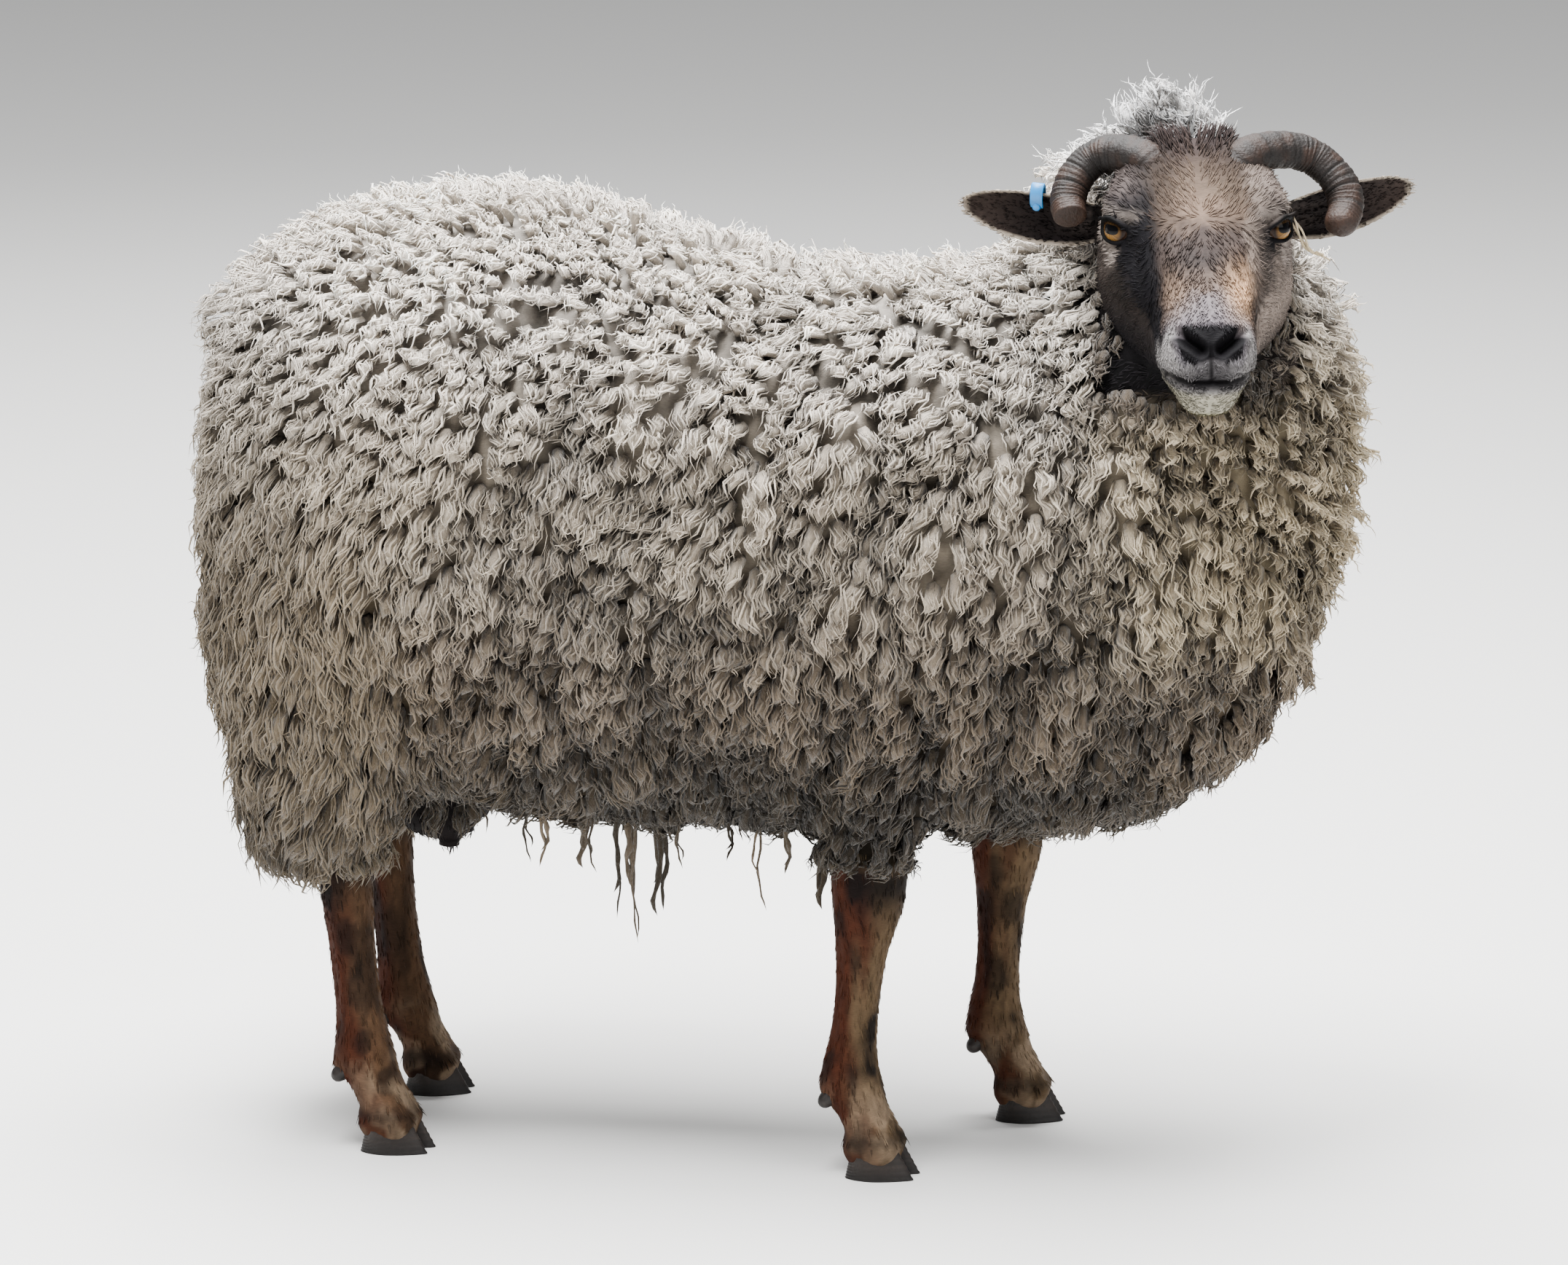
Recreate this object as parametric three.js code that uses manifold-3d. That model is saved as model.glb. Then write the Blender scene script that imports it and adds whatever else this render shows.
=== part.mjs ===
// A horned, short-tailed ewe in full fleece, life size, standing with the head turned to its right.
// Millimetres, +X towards the breast, +Y towards the animal's left, +Z up, floor at Z 0.
// The fleece is modelled out to the tips of its locks. Each named part is one closed solid.
import * as THREE from "three";
import { mergeVertices } from "three/addons/utils/BufferGeometryUtils.js";
import Module from "manifold-3d";

const wasm = await Module();
wasm.setup();

// ---- Driving dimensions -------------------------------------------------------------------------

const GAP = 0.35; // clearance left where one part is let into another

const TRUNK = { rear: -468, front: 463, rings: 17, sides: 24 };
// Profiles of the fleeced trunk: [distance along X, value]
const BACK_LINE = [[-454, 742], [-400, 758], [-345, 769], [-280, 776], [-190, 774], [-127, 766], [-76, 748],
  [-20, 730], [38, 719], [90, 730], [140, 742], [240, 735], [340, 715], [463, 690]];
const CORE_LINE = [[-454, 470], [-200, 500], [100, 510], [300, 540], [463, 565]]; // height of the widest part
const BELLY_LINE = [[-454, 225], [-380, 240], [-300, 268], [-200, 256], [-60, 250], [80, 250], [230, 240],
  [330, 224], [400, 255], [463, 300]];
const GIRTH_LINE = [[-454, 178], [-360, 202], [-220, 219], [-40, 228], [110, 222], [260, 206], [463, 184]];
// How squarely the trunk closes at each end: over the back, under the belly and at the flanks.
const ENDS = { rear: { top: 6.5, bottom: 4, side: 4.2 }, front: { top: 2.2, bottom: 2.7, side: 2.9 } };

// The neck: [centre X, centre Y, centre Z, half length fore and aft, half width]
const NECK = [
  [210, 0, 500, 150, 150],
  [274, 0, 590, 192, 174],
  [291, 0, 660, 176, 160],
  [292, 0, 720, 149, 130],
  [291, 8, 770, 100, 88],
  [300, 4, 808, 68, 66],
  [304, 0, 840, 45, 44],
  [299, -2, 871, 19, 24],
];
const NECK_BASE = { x: 118, z: 762, lean: 41 }; // the plane that parts neck and trunk, leaning in degrees

// Where the fleece hangs over the top of each leg: [height, centre X, centre Y, half length, half width]
const THIGH = [[226, -362, 98, 30, 36], [246, -360, 100, 56, 54], [300, -350, 102, 84, 72],
  [400, -330, 104, 104, 86], [500, -316, 100, 96, 80]];
const FOREARM = [[250, 0, 0, 30, 32], [264, 0, 0, 50, 48], [320, 6, 2, 72, 64], [420, 14, 2, 78, 70]];

// Legs: [height, forward offset, half length fore and aft, half width]
const FORELEG = [[420, 2, 36, 32], [300, 0, 31, 28], [262, 0, 31, 29], [232, 0, 28.5, 27.5], [205, -1, 24.5, 24],
  [178, -3, 20, 20], [140, -5, 17.5, 18], [110, -7, 18.5, 19], [88, -8, 22, 22.5], [72, -6, 24.5, 24],
  [56, 2, 21, 23], [40, 11, 22, 25], [26, 17, 25, 26.5]];
const HINDLEG = [[420, 4, 44, 34], [330, -6, 38, 28], [290, -10, 31, 26], [250, -8, 25, 24], [205, -4, 20.5, 20.5],
  [160, 0, 18, 18.5], [115, 5, 18.5, 19], [90, 8, 21.5, 22], [72, 10, 24.5, 24], [56, 18, 21, 23],
  [40, 27, 22, 25], [26, 33, 25, 26.5]];
// Where each leg stands, how far it is turned out (degrees) and how far its foot swings forward
const LEGS = {
  foreleg_right: { profile: FORELEG, x: 90, y: -100, turn: -4, swing: -13 },
  foreleg_left: { profile: FORELEG, x: 164, y: 98, turn: 4, swing: 0 },
  hindleg_right: { profile: HINDLEG, x: -334, y: -92, turn: -5, swing: 0 },
  hindleg_left: { profile: HINDLEG, x: -345, y: 90, turn: 5, swing: 0 },
};

const CLAW = { length: 58, width: 24.5, height: 34, apart: 14, heel: 24, sides: 10 };
const DEWCLAW = { radius: 7.5, length: 12, apart: 13, height: 62, sides: 7 };

// The head has its own frame: x forward along the jaw, y left, z up, origin midway between the eyes.
const HEAD = { x: 348, y: -130, z: 769, yaw: -77.5, pitch: 9.2, roll: 0.4 };
const SKULL = { back: -104, front: 158, rings: 24, sides: 26 };
const FACE_LINE = [[-104, 24], [-84, 50], [-62, 58], [-38, 55], [-12, 43], [36, 20], [80, 1], [118, -15],
  [140, -26], [150, -35], [158, -50]];
const JAW_LINE = [[-104, -88], [-64, -108], [-22, -112], [30, -104], [80, -102], [112, -107], [134, -104], [158, -80]];
const FACE_WIDTH = [[-104, 50], [-70, 66], [-28, 74], [0, 69.5], [34, 58], [72, 45], [108, 38.5], [138, 37], [158, 30]];
const CHEEK_SQUARENESS = [[-104, 2.4], [-40, 3], [10, 2.8], [70, 2.3], [158, 2.2]];

const EYE = { x: -5, y: 56.5, z: 1, radius: 15.5 };
const HORN = { base: 15.5, tip: 12, rings: 13, sides: 9, ridges: 6, ridge: 0.5 };
const HORN_PATH = {
  right: [[-30, 22, 26], [-42, 38, 44], [-60, 62, 44], [-64, 79, 36], [-56, 92, 23], [-44, 97, 10.5], [-30, 96, 3]],
  left: [[-30, 22, 26], [-42, 40, 46], [-58, 69, 46], [-64, 90, 39.5], [-60, 105, 29], [-50, 116, 15.5],
    [-38, 117, 4.5], [-24, 112, -3]],
};
const EAR = { width: 41, thickness: 5.5, cup: 11, rings: 8, sides: 5 };
const EAR_ROOT = [-50, 60, -6];
const EAR_TIP = { right: [-85, 175, -2], left: [-85, 171, 8] };
const TAG = { along: 0.56, width: 10, loop: 19, wall: 2.2, gap: 5, pin: 2.2 };

const TAIL = [[706, -446, 13, 20], [688, -452, 22, 34], [640, -455, 24, 40], [580, -456, 19, 32], [530, -456, 10, 17]];
const UDDER = { x: -278, y: 23, z: 274, rx: 38, ry: 26, rz: 34 };

// Material: colour, roughness
const FINISH = {
  fleece: ["#cfc3b0", 0.95],
  face: ["#5b5049", 0.8],
  leg: ["#7a5a45", 0.8],
  horn: ["#7d6455", 0.6],
  hoof: ["#2e2622", 0.6],
  eye: ["#a8741f", 0.1],
  tag: ["#2a9bd0", 0.4],
  udder: ["#3a3029", 0.8],
};

// ---- Shape helpers ------------------------------------------------------------------------------

const radians = THREE.MathUtils.degToRad;
const bell = (distance) => Math.exp(-distance * distance);

// A smooth curve through [position, value] points (Hermite, with the slope of each point's neighbours).
function profile(points) {
  const slope = points.map((p, i) => {
    const before = points[Math.max(0, i - 1)];
    const after = points[Math.min(points.length - 1, i + 1)];
    return (after[1] - before[1]) / (after[0] - before[0]);
  });
  return (at) => {
    let i = 0;
    while (i < points.length - 2 && at > points[i + 1][0]) i += 1;
    const [x0, y0] = points[i];
    const [x1, y1] = points[i + 1];
    const span = x1 - x0;
    const t = THREE.MathUtils.clamp((at - x0) / span, 0, 1);
    const ease = t * t * (3 - 2 * t);
    const bend = t * (1 - t) * span * (slope[i] * (1 - t) - slope[i + 1] * t);
    return y0 + (y1 - y0) * ease + bend;
  };
}

// Rows of stations, each several numbers, as one function of 0 to 1 that gives the row in between.
function blendRows(rows) {
  const columns = rows[0].map((_, c) => profile(rows.map((row, i) => [i, row[c]])));
  return (t) => columns.map((column) => column(t * (rows.length - 1)));
}

// One ring of a superellipse: reach[0] to the side, reach[1] above and reach[2] below the centre.
function ring(centre, side, up, reach, sides, squareness = 2) {
  const power = (v) => Math.sign(v) * Math.abs(v) ** (2 / squareness);
  return Array.from({ length: sides }, (_, i) => {
    const angle = (i / sides) * 2 * Math.PI;
    const rise = Math.sin(angle) > 0 ? reach[1] : reach[2];
    return centre.clone()
      .addScaledVector(side, reach[0] * power(Math.cos(angle)))
      .addScaledVector(up, rise * power(Math.sin(angle)));
  });
}

// A closed solid through rings of equal count, with a flat fan at each end.
function loft(rings) {
  const sides = rings[0].length;
  const points = rings.flat();
  for (const end of [rings[0], rings[rings.length - 1]]) {
    points.push(end.reduce((sum, p) => sum.add(p), new THREE.Vector3()).divideScalar(sides));
  }
  const first = rings.length * sides;
  const faces = [];
  for (let i = 0; i < sides; i += 1) {
    const j = (i + 1) % sides;
    for (let r = 0; r < rings.length - 1; r += 1) {
      const a = r * sides;
      const b = a + sides;
      faces.push(a + i, a + j, b + j, a + i, b + j, b + i);
    }
    const last = first - sides;
    faces.push(first, j, i, first + 1, last + i, last + j);
  }
  return solid(points, faces);
}

// Points and faces as a manifold-3d solid, turned right side out.
function solid(points, faces) {
  let volume = 0;
  for (let i = 0; i < faces.length; i += 3) {
    volume += points[faces[i]].dot(points[faces[i + 1]].clone().cross(points[faces[i + 2]]));
  }
  if (volume < 0) faces.reverse();
  const vertProperties = new Float32Array(points.flatMap((p) => [p.x, p.y, p.z]));
  return new wasm.Manifold(new wasm.Mesh({ numProp: 3, vertProperties, triVerts: new Uint32Array(faces) }));
}

// A three.js geometry, placed by a matrix, as a solid.
function solidOf(geometry, matrix) {
  const placed = geometry.clone().applyMatrix4(matrix);
  placed.deleteAttribute("normal");
  placed.deleteAttribute("uv");
  const merged = mergeVertices(placed, 1e-3);
  const position = merged.getAttribute("position");
  const points = Array.from({ length: position.count }, (_, i) => new THREE.Vector3().fromBufferAttribute(position, i));
  return solid(points, Array.from(merged.index.array));
}

function geometryOf(shape) {
  const mesh = shape.getMesh();
  const geometry = new THREE.BufferGeometry();
  geometry.setAttribute("position", new THREE.BufferAttribute(new Float32Array(mesh.vertProperties), 3));
  geometry.setIndex(new THREE.BufferAttribute(new Uint32Array(mesh.triVerts), 1));
  geometry.computeVertexNormals();
  return geometry;
}

const joined = (solids) => solids.reduce((all, one) => all.add(one));
const largest = (shape) => shape.decompose().reduce((a, b) => (b.volume() > a.volume() ? b : a));

// ---- Fleece: trunk, neck, tail ------------------------------------------------------------------

const X_AXIS = new THREE.Vector3(1, 0, 0);
const Y_AXIS = new THREE.Vector3(0, 1, 0);
const Z_AXIS = new THREE.Vector3(0, 0, 1);

function trunkBarrel(grow) {
  const [back, core, belly, girth] = [BACK_LINE, CORE_LINE, BELLY_LINE, GIRTH_LINE].map(profile);
  const middle = (TRUNK.rear + TRUNK.front) / 2;
  const half = (TRUNK.front - TRUNK.rear) / 2;
  const rings = Array.from({ length: TRUNK.rings }, (_, i) => {
    const along = -Math.cos((Math.PI * (i + 0.28)) / (TRUNK.rings - 0.44));
    const end = along < 0 ? ENDS.rear : ENDS.front;
    const closing = (squareness) => (1 - Math.abs(along) ** squareness) ** (1 / squareness);
    const x = middle + half * along;
    const reach = [
      girth(x) * closing(end.side) + grow,
      (back(x) - core(x)) * closing(end.top) + grow,
      (core(x) - belly(x)) * closing(end.bottom) + grow,
    ];
    return ring(new THREE.Vector3(x + grow * along, 0, core(x)), Y_AXIS, Z_AXIS, reach, TRUNK.sides, 2.25);
  });
  return loft(rings);
}

// A column of level rings: rows are [height, X, Y, half length, half width].
function column(rows, grow, count, sides, squareness = 2) {
  const at = blendRows(rows);
  return loft(Array.from({ length: count }, (_, i) => {
    const [z, x, y, long, wide] = at(i / (count - 1));
    const end = i === 0 ? -grow : i === count - 1 ? grow : 0;
    const lift = rows[0][0] < rows[rows.length - 1][0] ? end : -end;
    return ring(new THREE.Vector3(x, y, z + lift), X_AXIS, Y_AXIS, [long + grow, wide + grow, wide + grow], sides, squareness);
  }));
}

function fleecedTrunk(grow) {
  const overLegs = Object.values(LEGS).map(({ profile: rows, x, y }) => {
    const side = Math.sign(y);
    const lobe = rows === HINDLEG
      ? THIGH.map(([z, cx, cy, long, wide]) => [z, cx, side * cy, long, wide])
      : FOREARM.map(([z, dx, dy, long, wide]) => [z, x + dx, y + side * dy, long, wide]);
    return column(lobe, grow, 6, 12);
  });
  return joined([trunkBarrel(grow), ...overLegs]);
}

function neckColumn(grow) {
  const at = blendRows(NECK);
  const count = 11;
  const spine = new THREE.CatmullRomCurve3(NECK.map(([x, y, z]) => new THREE.Vector3(x, y, z)));
  return loft(Array.from({ length: count }, (_, i) => {
    const t = i / (count - 1);
    const [x, y, z, long, wide] = at(t);
    const along = spine.getTangent(t);
    const fore = new THREE.Vector3().crossVectors(Y_AXIS, along).normalize();
    const end = t === 1 ? grow : 0;
    const centre = new THREE.Vector3(x, y, z).addScaledVector(along, end);
    return ring(centre, fore, Y_AXIS, [long + grow, wide + grow, wide + grow], 22);
  }));
}

const tailLobe = (grow) => column(TAIL.map(([z, x, long, wide]) => [z, x, 0, long, wide]), grow, 6, 10);

// The half of space above the base of the neck, as a large slab.
function aboveNeckBase(grow) {
  const slab = new THREE.BoxGeometry(1500, 1500, 800);
  const matrix = new THREE.Matrix4()
    .makeTranslation(NECK_BASE.x, 0, NECK_BASE.z)
    .multiply(new THREE.Matrix4().makeRotationY(radians(NECK_BASE.lean)))
    .multiply(new THREE.Matrix4().makeTranslation(0, 0, 400 - grow));
  return solidOf(slab, matrix);
}

function udder(grow) {
  const teat = UDDER.rx * 0.22;
  return joined([-1, 1].map((side) => {
    const rows = [];
    for (let i = 1; i < 6; i += 1) {
      const angle = Math.PI * (i / 6);
      rows.push([UDDER.z - UDDER.rz * Math.cos(angle), UDDER.x, side * UDDER.y,
        UDDER.rx * Math.sin(angle), UDDER.ry * Math.sin(angle)]);
    }
    rows.unshift([UDDER.z - UDDER.rz * 1.12, UDDER.x + teat, side * UDDER.y * 1.1, teat, teat]);
    return column(rows, grow, 6, 10);
  }));
}

// ---- Legs ---------------------------------------------------------------------------------------

function legFrame({ x, y, turn }) {
  return new THREE.Matrix4().makeTranslation(x, y, 0).multiply(new THREE.Matrix4().makeRotationZ(radians(turn)));
}

const placed = (shape, matrix) => shape.transform(matrix.elements);
const LEG_TOP = 300; // a leg swings from here down

// A leg's forward offset at a height, with its swing added in.
const swung = (z, offset, swing) => offset + swing * THREE.MathUtils.clamp(1 - z / LEG_TOP, 0, 1);

function legColumn({ profile: rows, swing }) {
  return column(rows.map(([z, dx, long, wide]) => [z, swung(z, dx, swing), 0, long, wide]).reverse(), 0, 14, 12, 2.2);
}

// The forward offset of a leg's foot, where its claws stand.
function footAt({ profile: rows, swing }) {
  const [z, offset] = rows[rows.length - 1];
  return swung(z, offset, swing);
}

// One claw of the cloven hoof: a flat sole, a rounded heel and a pointed toe that slopes back as it rises.
function claw(side, foot, grow) {
  const rise = [0, 0.4, 1];
  const rings = rise.map((share) => {
    const z = share * CLAW.height + (share === 0 ? -grow : share === 1 ? grow : 0);
    const taper = share === 0 ? 0.94 : 1 - 0.2 * share;
    const lean = -CLAW.length * 0.24 * share;
    return Array.from({ length: CLAW.sides }, (_, i) => {
      const angle = (i / CLAW.sides) * 2 * Math.PI;
      const ahead = Math.cos(angle);
      const reach = ahead > 0 ? CLAW.length - CLAW.heel : CLAW.heel;
      const narrow = ahead > 0 ? 1 - 0.42 * ahead * ahead : 1;
      const x = foot + lean + ahead * (reach * taper + grow);
      const inner = side * CLAW.apart - side * Math.max(0, ahead) * CLAW.width * 0.14;
      return new THREE.Vector3(x, inner + Math.sin(angle) * ((CLAW.width / 2) * narrow * taper + grow), z);
    });
  });
  return loft(rings);
}

// One dewclaw, a blunt cone behind the fetlock.
function dewclaw(side, { profile: rows, swing }, grow) {
  const [z, offset, long] = rows.find((row) => row[0] === 72);
  const out = new THREE.Vector3(-0.7, side * 0.25, -0.7).normalize();
  const root = new THREE.Vector3(swung(z, offset, swing) - long * 0.72, side * DEWCLAW.apart, DEWCLAW.height);
  const rings = [[-0.6, 1], [0.5, 0.95], [1, 0.6]].map(([share, width]) => {
    const centre = root.clone().addScaledVector(out, share * DEWCLAW.length + (share === 1 ? grow : 0));
    const radius = DEWCLAW.radius * width + grow;
    const across = new THREE.Vector3().crossVectors(out, Y_AXIS).normalize();
    return ring(centre, Y_AXIS, across, [radius, radius * 0.8, radius * 0.8], DEWCLAW.sides);
  });
  return loft(rings);
}

// ---- Head ---------------------------------------------------------------------------------------

const headFrame = new THREE.Matrix4().compose(
  new THREE.Vector3(HEAD.x, HEAD.y, HEAD.z),
  new THREE.Quaternion().setFromEuler(new THREE.Euler(radians(HEAD.roll), radians(HEAD.pitch), radians(HEAD.yaw), "ZYX")),
  new THREE.Vector3(1, 1, 1),
);

// Local swellings and hollows of the face: centre, spread along each axis, and how far they push out.
const FEATURES = [
  { at: [-8, 68, 14], spread: [22, 20, 12], push: 5 }, // brow over the eye
  { at: [4, 68, 0], spread: [16, 14, 10], push: -4 }, // socket of the eye
  { at: [-44, 62, 16], spread: [18, 20, 18], push: -4 }, // temple behind it
  { at: [30, 52, -6], spread: [17, 16, 14], push: -4 }, // hollow below the inner corner of the eye
  { at: [36, 50, -36], spread: [40, 18, 14], push: 3 }, // cheek bone
  { at: [-26, 58, -66], spread: [30, 26, 28], push: 3 }, // jaw muscle
  { at: [84, 42, -48], spread: [26, 16, 22], push: -3.5 }, // behind the corner of the mouth
  { at: [150, 19, -44], spread: [10, 7.5, 5], push: -8 }, // nostril
  { at: [148, 27, -36], spread: [12, 7, 7], push: 3 }, // wing of the nostril
  { at: [146, 17, -66], spread: [14, 15, 9], push: 4 }, // upper lip
  { at: [128, 12, -95], spread: [16, 17, 12], push: 3 }, // chin
];
const MOUTH = { corner: 92, front: 150, line: -69, droop: 16, depth: 3.6, spread: 3.6 };
const PHILTRUM = { top: -46, bottom: -69, depth: 2.4, spread: 3 };

function featurePush(p) {
  let push = 0;
  for (const { at, spread, push: depth } of FEATURES) {
    const away = Math.hypot((p.x - at[0]) / spread[0], (Math.abs(p.y) - at[1]) / spread[1], (p.z - at[2]) / spread[2]);
    push += depth * bell(away);
  }
  const parting = THREE.MathUtils.smoothstep(p.x, MOUTH.corner, MOUTH.corner + 22);
  const lipLine = MOUTH.line - MOUTH.droop * (1 - THREE.MathUtils.smoothstep(p.x, MOUTH.corner, MOUTH.front));
  push -= MOUTH.depth * parting * bell((p.z - lipLine) / MOUTH.spread);
  const front = THREE.MathUtils.smoothstep(p.x, 140, 150);
  const onPhiltrum = p.z < PHILTRUM.top && p.z > PHILTRUM.bottom ? 1 : 0;
  push -= PHILTRUM.depth * front * onPhiltrum * bell(p.y / PHILTRUM.spread);
  return push;
}

function skull(grow) {
  const face = profile(FACE_LINE);
  const jaw = profile(JAW_LINE);
  const width = profile(FACE_WIDTH);
  const squareness = profile(CHEEK_SQUARENESS);
  const middle = (SKULL.back + SKULL.front) / 2;
  const half = (SKULL.front - SKULL.back) / 2;
  const rings = Array.from({ length: SKULL.rings }, (_, i) => {
    const along = -Math.cos((Math.PI * (i + 0.3)) / (SKULL.rings - 0.35));
    const bluntness = along < 0 ? 4.5 : 5.5;
    const closing = (1 - Math.abs(along) ** bluntness) ** (1 / bluntness);
    const x = middle + half * along;
    const widest = THREE.MathUtils.lerp(face(x), jaw(x), 0.46 + 0.06 * THREE.MathUtils.smoothstep(x, 60, 130));
    const centre = new THREE.Vector3(x + grow * along, 0, widest);
    const reach = [width(x) * closing, (face(x) - widest) * closing, (widest - jaw(x)) * closing];
    return ring(centre, Y_AXIS, Z_AXIS, reach, SKULL.sides, squareness(x)).map((p) => {
      const out = p.clone().sub(centre).normalize();
      return p.addScaledVector(out, featurePush(p) + grow);
    });
  });
  return placed(loft(rings), headFrame);
}

const eyeball = (side, grow) => solidOf(
  new THREE.SphereGeometry(EYE.radius + grow, 12, 8),
  headFrame.clone().multiply(new THREE.Matrix4().makeTranslation(EYE.x, side * EYE.y, EYE.z)),
);

function horn(side, grow) {
  const points = side < 0 ? HORN_PATH.right : HORN_PATH.left;
  const path = new THREE.CatmullRomCurve3(points.map(([x, y, z]) => new THREE.Vector3(x, side * y, z)));
  const rings = Array.from({ length: HORN.rings + 3 }, (_, i) => {
    const t = Math.min(1, i / HORN.rings);
    const rounding = Math.max(0, i - HORN.rings) / 3; // the blunt tip: three closing rings past the end
    const along = path.getTangent(t);
    const flat = new THREE.Vector3().crossVectors(along, Z_AXIS).normalize();
    const up = new THREE.Vector3().crossVectors(flat, along).normalize();
    const ridge = HORN.ridge * Math.sin(t * HORN.ridges * 2 * Math.PI);
    const swell = THREE.MathUtils.lerp(HORN.base, HORN.tip, t ** 1.6) + ridge;
    const radius = (swell + grow) * Math.sqrt(1 - rounding * rounding);
    const centre = path.getPoint(t).addScaledVector(along, rounding * HORN.tip * 0.8);
    return ring(centre, flat, up, [radius, radius * 0.92, radius * 0.92], HORN.sides);
  });
  return placed(loft(rings), headFrame);
}

// The ear's own frame at a share of its length: where it is, and which way it is wide and faces.
function earFrame(side, t) {
  const root = new THREE.Vector3(EAR_ROOT[0], side * EAR_ROOT[1], EAR_ROOT[2]);
  const [x, y, z] = side < 0 ? EAR_TIP.right : EAR_TIP.left;
  const tip = new THREE.Vector3(x, side * y, z);
  const along = tip.clone().sub(root).normalize();
  const wide = new THREE.Vector3(0.12, 0, 1).addScaledVector(along, -0.1).cross(along).cross(along).negate().normalize();
  const back = new THREE.Vector3().crossVectors(along, wide).multiplyScalar(side).normalize();
  const droop = -6 * Math.sin(Math.PI * t);
  return { at: root.lerp(tip, t).addScaledVector(wide, droop * 0.6), along, wide, back };
}

const earWidth = (t) => EAR.width * Math.sin(Math.PI * Math.min(1, 0.3 + 0.7 * t ** 0.9)) ** 0.75 + 3;
const earCup = (t) => EAR.cup * (1 - 0.75 * t);

// A cupped leaf, thin at its edges, closing from a rolled root to a point.
function ear(side, grow) {
  const rings = Array.from({ length: EAR.rings }, (_, i) => {
    const t = i / (EAR.rings - 1);
    const { at, wide, back } = earFrame(side, t);
    const half = earWidth(t) / 2 + grow;
    const edge = Array.from({ length: EAR.sides }, (_, k) => -1 + (2 * k) / (EAR.sides - 1));
    const point = (s, face) => {
      const thickness = EAR.thickness * (1 - 0.55 * t) * Math.sqrt(Math.max(0, 1 - 0.86 * s * s));
      const depth = -earCup(t) * s * s + face * (thickness / 2 + grow);
      return at.clone().addScaledVector(wide, s * half).addScaledVector(back, depth);
    };
    return [...edge.map((s) => point(s, 1)), ...edge.reverse().map((s) => point(s, -1))];
  });
  return placed(loft(rings), headFrame);
}

// The tag's own frame: x along the ear, y across its thickness, z up over its upper edge.
function tagFrame() {
  const { at, along, wide, back } = earFrame(-1, TAG.along);
  const upper = wide.z > 0 ? wide : wide.clone().negate();
  const side = new THREE.Vector3().crossVectors(upper, along).normalize();
  const edge = at.clone().addScaledVector(upper, earWidth(TAG.along) / 2).addScaledVector(back, -earCup(TAG.along) * 0.75);
  return headFrame.clone().multiply(new THREE.Matrix4().makeBasis(along, side, upper).setPosition(edge));
}

const pinMatrix = () => tagFrame().multiply(new THREE.Matrix4().makeTranslation(0, 0, -TAG.loop * 0.42));
const pinHole = (grow) => solidOf(new THREE.CylinderGeometry(TAG.pin + grow, TAG.pin + grow, 44, 8), pinMatrix());

// A strap bent over the ear's edge, with a pin through the ear that joins its two legs.
function earTag() {
  const outline = new THREE.Shape();
  const outer = TAG.gap + TAG.wall;
  outline.moveTo(-outer, -TAG.loop * 0.7);
  outline.lineTo(-outer, 0);
  outline.absarc(0, 0, outer, Math.PI, 0, true);
  outline.lineTo(outer, -TAG.loop * 0.7);
  outline.lineTo(TAG.gap, -TAG.loop * 0.7);
  outline.lineTo(TAG.gap, 0);
  outline.absarc(0, 0, TAG.gap, 0, Math.PI, false);
  outline.lineTo(-TAG.gap, -TAG.loop * 0.7);
  const strap = new THREE.ExtrudeGeometry(outline, { depth: TAG.width, bevelEnabled: false, curveSegments: 4 });
  strap.translate(0, 0, -TAG.width / 2);
  const upright = new THREE.Matrix4().makeBasis(Y_AXIS, Z_AXIS, X_AXIS);
  const pin = new THREE.CylinderGeometry(TAG.pin, TAG.pin, 2 * outer + 3, 8);
  const frame = tagFrame().multiply(new THREE.Matrix4().makeTranslation(0, 0, 5));
  return solidOf(strap, frame.multiply(upright)).add(solidOf(pin, pinMatrix()));
}

// ---- Assembly -----------------------------------------------------------------------------------

const sheep = new THREE.Group();

function addPart(name, finish, shape) {
  const [color, roughness] = FINISH[finish];
  const mesh = new THREE.Mesh(geometryOf(largest(shape)), new THREE.MeshStandardMaterial({ color, roughness, metalness: 0 }));
  mesh.name = name;
  sheep.add(mesh);
}

const SIDES = { right: -1, left: 1 };
const bothSides = (make) => joined(Object.values(SIDES).map(make));

const headGrown = skull(GAP);
const hornsGrown = bothSides((side) => horn(side, GAP));
const earsGrown = bothSides((side) => ear(side, GAP));
const fleece = fleecedTrunk(0).add(neckColumn(0)).subtract(headGrown.add(hornsGrown).add(earsGrown));

addPart("neck", "fleece", fleece.intersect(aboveNeckBase(0)));
addPart("trunk", "fleece", fleece.subtract(aboveNeckBase(GAP)).subtract(tailLobe(GAP)).subtract(udder(GAP)));
addPart("tail", "fleece", tailLobe(0));
addPart("head", "face", skull(0).subtract(bothSides((side) => eyeball(side, GAP))));

for (const [name, side] of Object.entries(SIDES)) {
  addPart("eye_" + name, "eye", eyeball(side, 0));
  addPart("horn_" + name, "horn", horn(side, 0).subtract(headGrown));
  const leaf = ear(side, 0).subtract(headGrown).subtract(horn(side, GAP));
  addPart("ear_" + name, "face", side < 0 ? leaf.subtract(pinHole(GAP)) : leaf);
}
addPart("ear_tag", "tag", earTag());

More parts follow.
